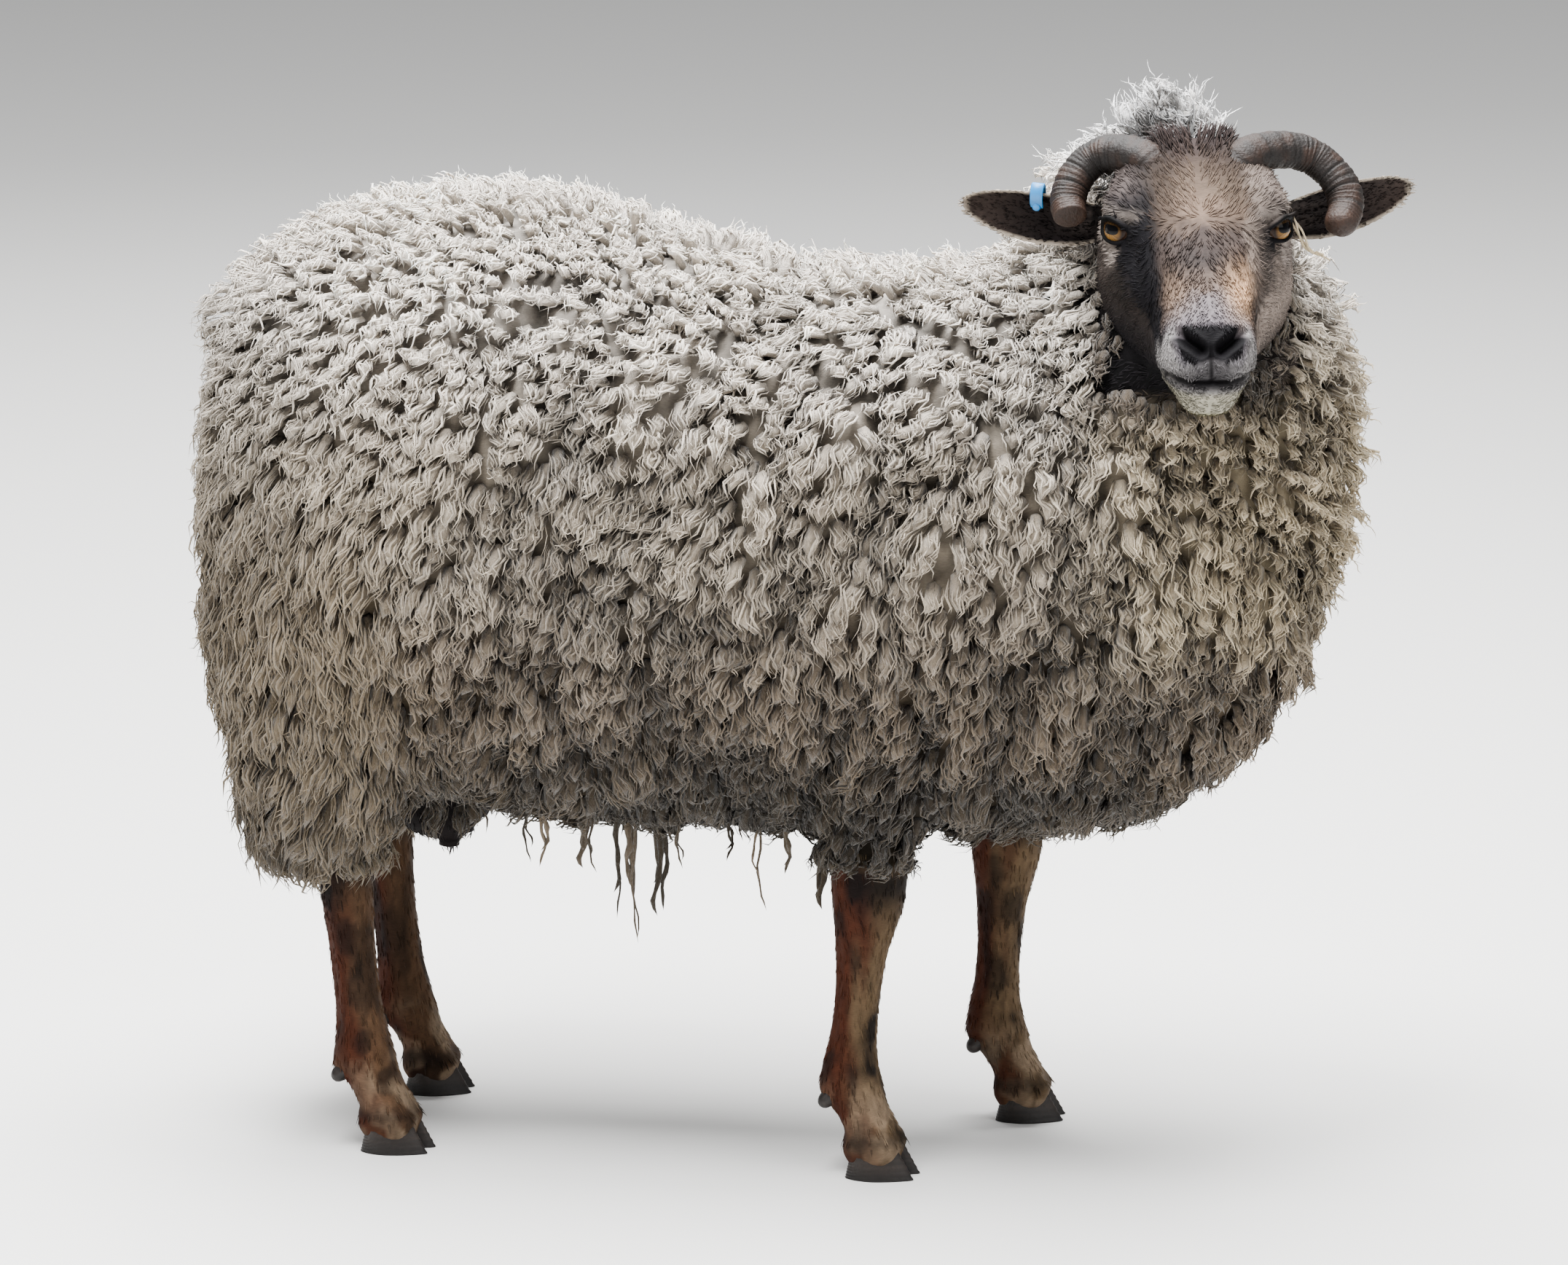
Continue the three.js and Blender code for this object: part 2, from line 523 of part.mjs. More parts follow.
const trunkGrown = fleecedTrunk(GAP);
addPart("udder", "udder", udder(0));
for (const [name, leg] of Object.entries(LEGS)) {
  const frame = legFrame(leg);
  const foot = footAt(leg);
  const horny = Object.entries(SIDES).flatMap(([which, side]) => [
    ["claw_" + which, (grow) => claw(side, foot, grow)],
    ["dewclaw_" + which, (grow) => dewclaw(side, leg, grow)],
  ]);
  const limb = horny.reduce((shape, [, make]) => shape.subtract(make(GAP)), legColumn(leg));
  addPart(name, "leg", placed(limb, frame).subtract(trunkGrown).subtract(udder(GAP)));
  for (const [part, make] of horny) addPart(name + "_" + part, "hoof", placed(make(0), frame));
}

// The origin is under the middle of the whole animal, on the floor.
const box = new THREE.Box3().setFromObject(sheep);
const centre = box.getCenter(new THREE.Vector3());
sheep.position.set(-centre.x, -centre.y, -box.min.z);

export default sheep;
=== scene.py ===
import math

import bmesh
import bpy
import numpy as np
from mathutils import Euler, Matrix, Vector
from mathutils.bvhtree import BVHTree


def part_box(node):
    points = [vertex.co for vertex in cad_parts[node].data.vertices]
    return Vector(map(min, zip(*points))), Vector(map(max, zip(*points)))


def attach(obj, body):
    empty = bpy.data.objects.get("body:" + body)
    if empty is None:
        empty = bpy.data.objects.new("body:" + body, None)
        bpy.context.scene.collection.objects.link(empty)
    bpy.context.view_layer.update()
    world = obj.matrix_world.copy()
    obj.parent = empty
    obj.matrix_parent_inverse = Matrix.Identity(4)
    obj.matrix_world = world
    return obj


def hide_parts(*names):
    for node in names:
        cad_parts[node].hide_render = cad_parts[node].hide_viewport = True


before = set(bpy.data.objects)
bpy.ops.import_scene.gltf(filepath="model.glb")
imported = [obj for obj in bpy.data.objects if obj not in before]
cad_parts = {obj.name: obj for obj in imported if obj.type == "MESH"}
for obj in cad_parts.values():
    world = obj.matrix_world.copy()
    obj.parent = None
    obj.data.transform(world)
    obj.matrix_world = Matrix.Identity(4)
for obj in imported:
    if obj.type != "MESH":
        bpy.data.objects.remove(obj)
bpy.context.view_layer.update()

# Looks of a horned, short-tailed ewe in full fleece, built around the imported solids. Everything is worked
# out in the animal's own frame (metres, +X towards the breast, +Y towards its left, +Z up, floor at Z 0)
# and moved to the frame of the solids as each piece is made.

MM = 0.001
FULL_TURN = 2 * math.pi
AHEAD, LEFTWARD, UPWARD = np.eye(3)
rng = np.random.default_rng(11)


# ---- Driving dimensions (millimetres, as the solids have them; the head's are in its own frame) --

HEAD_AT = np.array([0.348, -0.130, 0.769])
HEAD_YAW, HEAD_PITCH, HEAD_ROLL = math.radians(-77.5), math.radians(9.2), math.radians(0.4)
SKULL_BACK, SKULL_FRONT = -104, 158
FACE_LINE = [(-104, 24), (-84, 50), (-62, 58), (-38, 55), (-12, 43), (36, 20), (80, 1), (118, -15),
             (140, -26), (150, -35), (158, -50)]
JAW_LINE = [(-104, -88), (-64, -108), (-22, -112), (30, -104), (80, -102), (112, -107), (134, -104),
            (158, -80)]
FACE_WIDTH = [(-104, 50), (-70, 66), (-28, 74), (0, 69.5), (34, 58), (72, 45), (108, 38.5), (138, 37),
              (158, 30)]
CHEEK_SQUARENESS = [(-104, 2.4), (-40, 3), (10, 2.8), (70, 2.3), (158, 2.2)]

EYE_CENTRE = np.array([-5, 56.5, 1])
EYE_RADIUS = 15.5
EYE_TURN = math.radians(46)  # how far each eye looks out from straight ahead

HORN_PATH = {
    "right": [(-30, 22, 26), (-42, 38, 44), (-60, 62, 44), (-64, 79, 36), (-56, 92, 23), (-44, 97, 10.5),
              (-30, 96, 3)],
    "left": [(-30, 22, 26), (-42, 40, 46), (-58, 69, 46), (-64, 90, 39.5), (-60, 105, 29), (-50, 116, 15.5),
             (-38, 117, 4.5), (-24, 112, -3)],
}
HORN_BASE, HORN_TIP = 15.5, 12.0
EAR_ROOT = np.array([-50, 60, -6])
EAR_TIP = {-1: (-85, 175, -2), 1: (-85, 171, 8)}  # of the right ear and the left
EAR_HALF_WIDTH = [(0, 12), (0.12, 16.5), (0.3, 20.5), (0.5, 21.5), (0.66, 20), (0.82, 16), (0.93, 10.5),
                  (0.98, 6), (1, 3)]
EAR_THICKNESS, EAR_CUP = 3.6, 11

# A leg from the top down: height, how far its middle is ahead, half its length and half its width
FORELEG = [(420, 2, 36, 32), (300, 0, 31, 28), (262, 0, 31, 29), (232, 0, 28.5, 27.5),
           (205, -1, 24.5, 24), (178, -3, 20, 20), (140, -5, 17.5, 18), (110, -7, 18.5, 19),
           (88, -8, 22, 22.5), (72, -6, 24.5, 24), (56, 2, 21, 23), (40, 11, 22, 25), (26, 17, 25, 26.5)]
HINDLEG = [(420, 4, 44, 34), (330, -6, 38, 28), (290, -10, 31, 26), (250, -8, 25, 24),
           (205, -4, 20.5, 20.5), (160, 0, 18, 18.5), (115, 5, 18.5, 19), (90, 8, 21.5, 22),
           (72, 10, 24.5, 24), (56, 18, 21, 23), (40, 27, 22, 25), (26, 33, 25, 26.5)]
LEGS = {
    "foreleg_right": dict(profile=FORELEG, x=90, y=-100, turn=-4, swing=-13),
    "foreleg_left": dict(profile=FORELEG, x=164, y=98, turn=4, swing=0),
    "hindleg_right": dict(profile=HINDLEG, x=-334, y=-92, turn=-5, swing=0),
    "hindleg_left": dict(profile=HINDLEG, x=-345, y=90, turn=5, swing=0),
}
LEG_TOP = 300
CLAW_LENGTH, CLAW_WIDTH, CLAW_HEIGHT, CLAW_APART, CLAW_HEEL = 58, 24.5, 34, 14, 24
TAG_WIDTH = 10
DEWCLAW_RADIUS, DEWCLAW_LENGTH, DEWCLAW_APART, DEWCLAW_HEIGHT = 7.5, 12, 13, 62
FETLOCK = 72
UDDER = dict(x=-278, y=23, z=274, rx=38, ry=26, rz=34)
SIDES = {"right": -1, "left": 1}

HEAD_TURN = np.array(Euler((HEAD_ROLL, HEAD_PITCH, HEAD_YAW), "XYZ").to_matrix())


def head_to_animal(points):
    """Points in the head's frame, in millimetres, as points of the animal's frame in metres."""
    return np.asarray(points, float) * MM @ HEAD_TURN.T + HEAD_AT


def animal_to_head(points):
    return (points - HEAD_AT) @ HEAD_TURN / MM


def animal_origin():
    """Where the animal frame's origin lies in the frame of the solids, found from the two eyes."""
    corners = [np.array(corner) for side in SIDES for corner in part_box("eye_" + side)]
    seen = sum(corners) / len(corners)
    return seen - head_to_animal([EYE_CENTRE[0], 0, EYE_CENTRE[2]])


ORIGIN = animal_origin()


# ---- Small mathematics ---------------------------------------------------------------------------

def profile(points):
    """A smooth curve through (place, value, ...) points, as a function of arrays of places."""
    table = np.array(points, float)
    xs, ys = table[:, 0], table[:, 1:]
    slope = np.gradient(ys, xs, axis=0) if len(xs) < 3 else np.vstack([
        (ys[1] - ys[0]) / (xs[1] - xs[0]),
        (ys[2:] - ys[:-2]) / (xs[2:] - xs[:-2])[:, None],
        (ys[-1] - ys[-2]) / (xs[-1] - xs[-2]),
    ])

    def at(x):
        x = np.asarray(x, float)
        i = np.clip(np.searchsorted(xs, x) - 1, 0, len(xs) - 2)
        span = xs[i + 1] - xs[i]
        t = np.clip((x - xs[i]) / span, 0, 1)[..., None]
        ease = t * t * (3 - 2 * t)
        bend = t * (1 - t) * span[..., None] * (slope[i] * (1 - t) - slope[i + 1] * t)
        value = ys[i] + (ys[i + 1] - ys[i]) * ease + bend
        return value[..., 0] if value.shape[-1] == 1 else value

    return at


def bell(distance):
    return np.exp(-distance * distance)


def step(low, high, value):
    """0 below low, 1 above high, smooth between; low may be the larger."""
    t = np.clip((value - low) / (high - low), 0, 1)
    return t * t * (3 - 2 * t)


def mix(a, b, share):
    return a + (b - a) * share


def over(colour, tone, share):
    """The colour with a tone laid over it, by a share for each point."""
    return mix(colour, tone, share[:, None])


def columns(*values):
    """Arrays side by side, as the columns of points."""
    return np.stack(values, -1)


def turns(sides):
    """Even angles round a ring."""
    return np.arange(sides) / sides * FULL_TURN


def unit(vectors):
    return vectors / np.maximum(np.linalg.norm(vectors, axis=-1, keepdims=True), 1e-12)


def dots(a, b):
    return np.sum(a * b, axis=-1, keepdims=True)


def along_skin(ways, n):
    """Ways turned to lie along the skin whose normals are n."""
    return unit(ways - n * dots(ways, n))


def superellipse(angle, squareness):
    """How far across and how far up a superellipse is at each angle, as shares of its reach."""
    power = 2 / squareness
    return [np.sign(wave) * np.abs(wave) ** power for wave in (np.cos(angle), np.sin(angle))]


def hashed(cells, seed):
    """A number from 0 to 1 for each whole-number cell."""
    x, y, z = (cells[..., k].astype(np.int64) for k in range(3))
    h = (x * 374761393 + y * 668265263 + z * 2147483647 + seed * 1274126177) & 0xFFFFFFFF
    h = ((h ^ (h >> 13)) * 1274126177) & 0xFFFFFFFF
    h = ((h ^ (h >> 16)) * 2246822519) & 0xFFFFFFFF
    return ((h ^ (h >> 15)) & 0xFFFFFF) / 0xFFFFFF


def noise(points, size, seed=0):
    """Smooth noise from 0 to 1 whose features are about size across (a number or one for each axis)."""
    scaled = points / np.asarray(size, float)
    base = np.floor(scaled)
    part = scaled - base
    ease = part * part * (3 - 2 * part)
    total = 0
    for corner in np.ndindex(2, 2, 2):
        corner = np.array(corner)
        weight = np.prod(np.where(corner, ease, 1 - ease), axis=-1)
        total = total + weight * hashed(base + corner, seed)
    return total


def clumps(points, size, seed=0):
    """Cells of irregular clumps: 0 on the borders between them rising to 1 inside, a number for each, and
    where its middle lies from each point."""
    size = np.asarray(size, float)
    scaled = points / size
    base = np.floor(scaled)
    nearest = np.full(len(points), 9.0)
    second = np.full(len(points), 9.0)
    which = np.zeros(len(points))
    middle = np.zeros(points.shape)
    for offset in np.ndindex(3, 3, 3):
        cell = base + np.array(offset) - 1
        centre = cell + np.stack([hashed(cell, seed + k) for k in range(3)], -1)
        away = np.linalg.norm(centre - scaled, axis=-1)
        closer = away < nearest
        second = np.where(closer, nearest, np.minimum(second, away))
        which = np.where(closer, hashed(cell, seed + 7), which)
        middle = np.where(closer[:, None], centre - scaled, middle)
        nearest = np.where(closer, away, nearest)
    return np.clip((second - nearest) * 2.2, 0, 1), which, middle * size


def linear(hex_colour):
    """A colour written as on the web, as linear light."""
    value = np.array([int(hex_colour[i:i + 2], 16) / 255 for i in (1, 3, 5)])
    return np.where(value <= 0.04045, value / 12.92, ((value + 0.055) / 1.055) ** 2.4)


# ---- Meshes --------------------------------------------------------------------------------------

def add_object(name, data):
    thing = bpy.data.objects.new(name, data)
    bpy.context.scene.collection.objects.link(thing)
    return thing


def make_piece(name, points, faces, colours=None, uv=None):
    """A mesh object from arrays: points in the animal's frame, faces as arrays of equal-sided polygons,
    a colour and an OFBake place for each point."""
    mesh = bpy.data.meshes.new(name)
    faces = [np.asarray(group, np.int32) for group in faces]
    mesh.vertices.add(len(points))
    mesh.vertices.foreach_set("co", (np.asarray(points) + ORIGIN).astype(np.float32).ravel())
    corners = np.concatenate([group.ravel() for group in faces])
    sizes = np.concatenate([np.full(len(group), group.shape[1], np.int32) for group in faces])
    mesh.loops.add(len(corners))
    mesh.loops.foreach_set("vertex_index", corners)
    mesh.polygons.add(len(sizes))
    starts = np.concatenate([[0], np.cumsum(sizes)[:-1]]).astype(np.int32)
    mesh.polygons.foreach_set("loop_start", starts)
    mesh.update(calc_edges=True)
    mesh.polygons.foreach_set("use_smooth", np.full(len(sizes), True))
    if uv is not None:
        layer = mesh.uv_layers.new(name="OFBake")
        layer.data.foreach_set("uv", uv[corners].astype(np.float32).ravel())
    if colours is not None:
        set_colours(mesh, colours)
    return add_object(name, mesh)


def set_colours(mesh, colours):
    layer = mesh.color_attributes.get("Coat") or mesh.color_attributes.new("Coat", "FLOAT_COLOR", "POINT")
    rgba = np.concatenate([colours, np.ones((len(colours), 1))], axis=1)
    layer.data.foreach_set("color", rgba.astype(np.float32).ravel())


def read(rows, what, width, kind=np.float32):
    """One property of every row of a mesh's collection, as an array of that width."""
    values = np.empty(len(rows) * width, kind)
    rows.foreach_get(what, values)
    return values.reshape(-1, width)


def mesh_points(mesh):
    return read(mesh.vertices, "co", 3).astype(float) - ORIGIN


def mesh_normals(mesh):
    return read(mesh.vertex_normals, "vector", 3).astype(float)


def set_points(mesh, points):
    mesh.vertices.foreach_set("co", (points + ORIGIN).astype(np.float32).ravel())
    mesh.update()


def closed_tube(rings):
    """Points and faces of a closed solid through rings of points, an array (rows, sides, 3)."""
    rows, sides = rings.shape[:2]
    points = np.concatenate([rings.reshape(-1, 3), rings[0].mean(0)[None], rings[-1].mean(0)[None]])
    here = np.arange(sides)
    after = (here + 1) % sides
    start, end = rows * sides, rows * sides + 1
    first = columns(np.full(sides, start), after, here)
    last = columns(np.full(sides, end), here + (rows - 1) * sides, after + (rows - 1) * sides)
    row = np.arange(rows - 1)[:, None] * sides
    quads = columns(row + here, row + after, row + sides + after, row + sides + here).reshape(-1, 4)
    middle = rings[rows // 2].mean(0)
    out = rings[rows // 2, 0] - middle
    corner = points[quads[(rows // 2) * sides]]
    if np.dot(np.cross(corner[1] - corner[0], corner[3] - corner[0]), out) < 0:
        quads, first, last = quads[:, ::-1], first[:, ::-1], last[:, ::-1]
    return points, [quads, np.concatenate([first, last])]


def ring_points(centres, side, up, reach_side, reach_up, reach_down, sides, squareness=2.0):
    """Superellipse rings round centres (rows, 3); every reach is an array of rows."""
    angle = turns(sides)
    across, rise = superellipse(angle, squareness)
    tall = np.where(np.sin(angle) > 0, np.asarray(reach_up)[:, None], np.asarray(reach_down)[:, None])
    return (centres[:, None] + (np.asarray(reach_side)[:, None] * across)[..., None] * side
            + (tall * rise)[..., None] * up)


def modified(piece, kind, **settings):
    """Replaces the piece's mesh by the one that a modifier makes of it."""
    modifier = piece.modifiers.new(kind, kind)
    for setting, value in settings.items():
        setattr(modifier, setting, value)
    graph = bpy.context.evaluated_depsgraph_get()
    made = bpy.data.meshes.new_from_object(piece.evaluated_get(graph))
    piece.modifiers.clear()
    piece.data = made


def remesh(piece, size):
    modified(piece, "REMESH", mode="VOXEL", voxel_size=size)


def smooth(piece, times):
    modified(piece, "SMOOTH", iterations=times, factor=0.5)


def unite(piece, others):
    """Joins the others into piece as one closed surface."""
    for other in others:
        modified(piece, "BOOLEAN", operation="UNION", solver="MANIFOLD", object=other)
        bpy.data.objects.remove(other)


# ---- Head ----------------------------------------------------------------------------------------

# Swellings and hollows of the face: centre, spread along each axis, how far they push out
FACE_FORMS = [
    ((-8, 68, 14), (22, 20, 12), 5.0),  # brow over the eye
    ((4, 68, 0), (16, 14, 10), -4.0),  # socket of the eye
    ((-44, 62, 16), (18, 20, 18), -4.0),  # temple
    ((30, 52, -6), (17, 16, 14), -4.0),  # below the inner corner of the eye
    ((36, 50, -36), (40, 18, 14), 3.0),  # cheek bone
    ((-26, 58, -66), (30, 26, 28), 3.0),  # jaw muscle
    ((84, 42, -48), (26, 16, 22), -3.5),  # behind the corner of the mouth
    ((148, 27, -36), (12, 7, 7), 3.0),  # wing of the nostril
    ((148, 15, -58), (12, 12, 8), 2.6),  # upper lip
    ((128, 12, -95), (16, 17, 12), 3.0),  # chin
    ((146, 12, -78), (14, 14, 5), 2.0),  # lower lip
    ((118, 30, -30), (20, 8, 8), -2.0),  # beside the bridge of the nose, behind the nostril
    ((60, 26, 2), (46, 9, 9), 1.6),  # edge of the nose bone
    ((-60, 26, 46), (22, 16, 14), 3.0),  # base of the horn
    ((136, 35, -98), (30, 18, 22), -9.0),  # the chin is narrower than the upper lip
    ((142, 38, -74), (20, 10, 10), -2.5),  # corner of the lips
]
NOSTRIL = [(8, -45), (12.5, -42), (19.5, -39), (27, -36)]  # (out to the side, up), a comma
MOUTH_CORNER, MOUTH_FRONT, MOUTH_LINE, MOUTH_DROOP = 90, 150, -69, 10


def line_distance(points, line):
    """Distance of 2-D points to a line of short stretches."""
    nearest = np.full(len(points), 1e9)
    for a, b in zip(line[:-1], line[1:]):
        a, b = np.array(a, float), np.array(b, float)
        t = np.clip((points - a) @ (b - a) / np.dot(b - a, b - a), 0, 1)
        nearest = np.minimum(nearest, np.linalg.norm(points - a - t[:, None] * (b - a), axis=1))
    return nearest


def lip_line(x):
    return MOUTH_LINE - MOUTH_DROOP * (1 - step(MOUTH_CORNER, MOUTH_FRONT, x))


def face_push(p):
    """How far the face stands out from its plain form, for points in the head's frame."""
    side = np.abs(p[:, 1])
    push = np.zeros(len(p))
    for at, spread, depth in FACE_FORMS:
        away = columns(p[:, 0] - at[0], side - at[1], p[:, 2] - at[2]) / spread
        push += depth * bell(np.linalg.norm(away, axis=1))
    front = step(126, 138, p[:, 0])
    nostril = line_distance(columns(side, p[:, 2]), NOSTRIL)
    push -= front * (9.0 * bell(nostril / 3.7) - 1.4 * bell((nostril - 6.6) / 2.2))
    parting = step(MOUTH_CORNER, MOUTH_CORNER + 14, p[:, 0])
    push -= 4.2 * parting * bell((p[:, 2] - lip_line(p[:, 0])) / 1.9)
    philtrum = step(140, 150, p[:, 0]) * step(-70, -66, p[:, 2]) * step(-40, -46, p[:, 2])
    push -= 2.2 * philtrum * bell(p[:, 1] / 1.7)
    return push


def eye_axes(side):
    """Centre of an eye, the way it looks, towards the nose across it, and up; in the head's frame."""
    look = np.array([math.cos(EYE_TURN), side * math.sin(EYE_TURN), 0.03])
    look /= np.linalg.norm(look)
    fore = np.cross(look, [0, 0, 1]) * side
    fore /= np.linalg.norm(fore)
    up = np.cross(fore, look) * side
    return EYE_CENTRE * (1, side, 1), look, fore, up / np.linalg.norm(up)


LID_REACH = dict(fore=math.radians(56), back=math.radians(52), upper=math.radians(29), lower=math.radians(26))


def lid_measure(p, side):
    """Distance and direction from the eye's centre, place against the lids' opening (under 1 is inside it),
    and how far up the point is seen."""
    centre, look, fore, up = eye_axes(side)
    away = p - centre
    distance = np.linalg.norm(away, axis=1)
    direction = away / distance[:, None]
    turn = np.arctan2(direction @ fore, direction @ look)
    rise = np.arcsin(np.clip(direction @ up, -1, 1)) + 0.10 * turn
    wide = np.where(turn > 0, LID_REACH["fore"], LID_REACH["back"])
    tall = np.where(rise > 0, LID_REACH["upper"], LID_REACH["lower"])
    place = (np.abs(turn / wide) ** 1.7 + np.abs(rise / tall) ** 1.7) ** (1 / 1.7)
    return distance, direction, place, rise


def close_lids(p):
    """Draws the skin round each eyeball into lids, with the opening's skin tucked behind the ball."""
    for side in SIDES.values():
        distance, direction, place, rise = lid_measure(p, side)
        upper = step(-0.1, 0.25, rise)
        lid = EYE_RADIUS + 1.3 + 1.2 * bell((place - 1.22) / 0.2) + 0.5 * upper
        crease = -1.6 * upper * bell((place - 1.62) / 0.13) - 0.9 * (1 - upper) * bell((place - 1.6) / 0.14)
        target = mix(EYE_RADIUS - 3.5, lid, step(0.93, 1.03, place)) + crease
        share = step(2.3, 1.35, place) * step(34, 26, distance)
        p = np.where((share > 0)[:, None],
                     p + direction * ((target - distance) * share)[:, None], p)
    return p


def head_stations():
    """Places along the head and how far each ring has closed, nearer together at the eyes and muzzle."""
    middle, half = (SKULL_BACK + SKULL_FRONT) / 2, (SKULL_FRONT - SKULL_BACK) / 2
    along = np.sin(np.linspace(-1, 1, 8001)[1:-1] * math.pi / 2)
    bluntness = np.where(along < 0, 4.5, 5.5)
    closing = (1 - np.abs(along) ** bluntness) ** (1 / bluntness)
    x = middle + half * along
    run = np.concatenate([[0], np.cumsum(np.hypot(np.diff(x), np.diff(closing * 45)))])
    spacing = 2.6 - 1.7 * bell((x - 2) / 26) - 1.55 * step(84, 104, x)
    count = np.concatenate([[0], np.cumsum(np.diff(run) / ((spacing[1:] + spacing[:-1]) / 2))])
    wanted = np.linspace(0, count[-1], int(count[-1]))
    return np.interp(wanted, count, x), np.interp(wanted, count, closing)


def head_angles(sides=236):
    """Angles round the head, nearer together at the level of the eyes."""
    angle = np.linspace(0, FULL_TURN, 4001)
    crowd = 1 + 1.9 * sum(bell((angle - at) / 0.24) for at in (0.3, math.pi - 0.3, FULL_TURN + 0.3))
    count = np.concatenate([[0], np.cumsum((crowd[1:] + crowd[:-1]) / 2)])
    return np.interp(np.arange(sides) / sides * count[-1], count, angle)


def head_form():
    x, closing = head_stations()
    lines = (FACE_LINE, JAW_LINE, FACE_WIDTH, CHEEK_SQUARENESS)
    face, jaw, width, squareness = (profile(line)(x) for line in lines)
    widest = mix(face, jaw, 0.46 + 0.06 * step(60, 130, x))
    angle = head_angles()
    across, rise = superellipse(angle, squareness[:, None])
    tall = np.where(np.sin(angle) > 0, ((face - widest) * closing)[:, None],
                    ((widest - jaw) * closing)[:, None])
    rings = columns(
        np.broadcast_to(x[:, None], across.shape),
        (width * closing)[:, None] * across,
        widest[:, None] + tall * rise)
    around = np.roll(rings, -1, 1) - np.roll(rings, 1, 1)
    normals = unit(np.cross(around, np.gradient(rings, axis=0)))
    flat = rings.reshape(-1, 3)
    outward = dots(normals, rings - rings.mean(1, keepdims=True))[:, :, 0]
    normals = normals * (1 if outward.mean() > 0 else -1)
    flat = flat + normals.reshape(-1, 3) * face_push(flat)[:, None]
    flat = close_lids(flat)
    points, faces = closed_tube(head_to_animal(flat).reshape(rings.shape))
    return make_piece("head_form", points, faces)


# ---- Ears, legs, udder ---------------------------------------------------------------------------

def ear_ends(side):
    return EAR_ROOT * (1, side, 1), np.array(EAR_TIP[side]) * (1, side, 1)


def place_along_ear(head, side):
    """How far along an ear each point of the head's frame is: 0 at its root and 1 at its tip."""
    root, tip = ear_ends(side)
    return (head - root) @ (tip - root) / np.dot(tip - root, tip - root)


def ear_frame(side, t):
    """Along the middle of an ear: the places, the way it runs, the way it is wide, and the way its
    hollow faces."""
    root, tip = ear_ends(side)
    along = (tip - root) / np.linalg.norm(tip - root)
    wide = np.array([0.12, 0, 1.0])
    wide = unit(wide - along * (wide @ along))
    front = np.cross(along, wide) * side
    place = root + (tip - root) * t[:, None] - 3.6 * wide * np.sin(math.pi * t)[:, None]
    return place, along, wide, front


ear_half_width = profile(EAR_HALF_WIDTH)


def ear_form(side):
    t = np.linspace(-0.08, 1, 46)
    place, _, wide, front = ear_frame(side, t)
    share = np.cos(np.linspace(0, math.pi, 17))
    loop = np.concatenate([share, share[-2:0:-1]])
    face = np.concatenate([np.ones(17), -np.ones(15)])
    half = ear_half_width(np.clip(t, 0, 1))
    thin_out = np.sqrt(np.maximum(0, 1 - 0.9 * loop ** 2))
    thick = EAR_THICKNESS * (1 - 0.5 * np.clip(t, 0, 1))[:, None] * thin_out
    cup = (EAR_CUP * (1 - 0.75 * t))[:, None] * (loop ** 2)
    ripple = 1.3 * np.cos(loop * 13)[None] * step(0.85, 0.3, t)[:, None] * (face > 0) * (1 - loop ** 4)
    depth = cup + face * thick / 2 + ripple
    rings = place[:, None] + (half[:, None] * loop)[..., None] * wide + depth[..., None] * front
    points, faces = closed_tube(head_to_animal(rings))
    return make_piece("ear_form", points, faces)


def swung(z, offset, swing):
    return offset + swing * np.clip(1 - z / LEG_TOP, 0, 1)


def leg_to_animal(points, leg):
    turn = math.radians(leg["turn"])
    spin = np.array([[math.cos(turn), -math.sin(turn), 0], [math.sin(turn), math.cos(turn), 0], [0, 0, 1]])
    return (points @ spin.T + (leg["x"], leg["y"], 0)) * MM


def leg_form(leg):
    z = np.concatenate([np.linspace(13, 100, 46), np.linspace(103, 420, 70)])
    lowest = leg["profile"][-1][0]
    rows = profile(leg["profile"][::-1])(np.maximum(z, lowest))
    rows = rows * (1, 0.86, 0.86) ** np.maximum(0, (lowest - z[:, None]) / 13)
    offset, length, width = rows[:, 0], rows[:, 1], rows[:, 2]
    centres = columns(swung(z, offset, leg["swing"]), 0 * z, z)
    sides = 48
    rings = ring_points(centres, AHEAD, LEFTWARD, length, width, width, sides, 2.2)
    angle = turns(sides)
    from_front = np.abs(np.angle(np.exp(1j * angle)))
    around = np.abs(np.angle(np.exp(1j * (angle - math.pi))))
    front, behind = bell(from_front / 0.5), bell(around / 0.4)
    beside = bell((from_front - 2.35) / 0.3)
    height = z[:, None]
    cleft = step(52, 34, height) * (4.5 * front + 6 * behind)
    tendon = 1.6 * beside * step(84, 105, height) * step(205, 180, height)
    knee = 1.8 * front * bell((height - 222) / 24) if leg["profile"] is FORELEG else 0
    band = 1.2 * bell((height - 32) / 4)
    heel = 5.0 * bell((around - 0.62) / 0.5) * bell((height - 21) / 10)
    ergot = 3.0 * bell((around - 0.5) / 0.35) * bell((height - 64) / 9)
    push = knee + band + heel + ergot - cleft - tendon
    out = unit(rings - centres[:, None])
    points, faces = closed_tube(leg_to_animal(rings + out * push[..., None], leg))
    return make_piece("leg_form", points, faces)


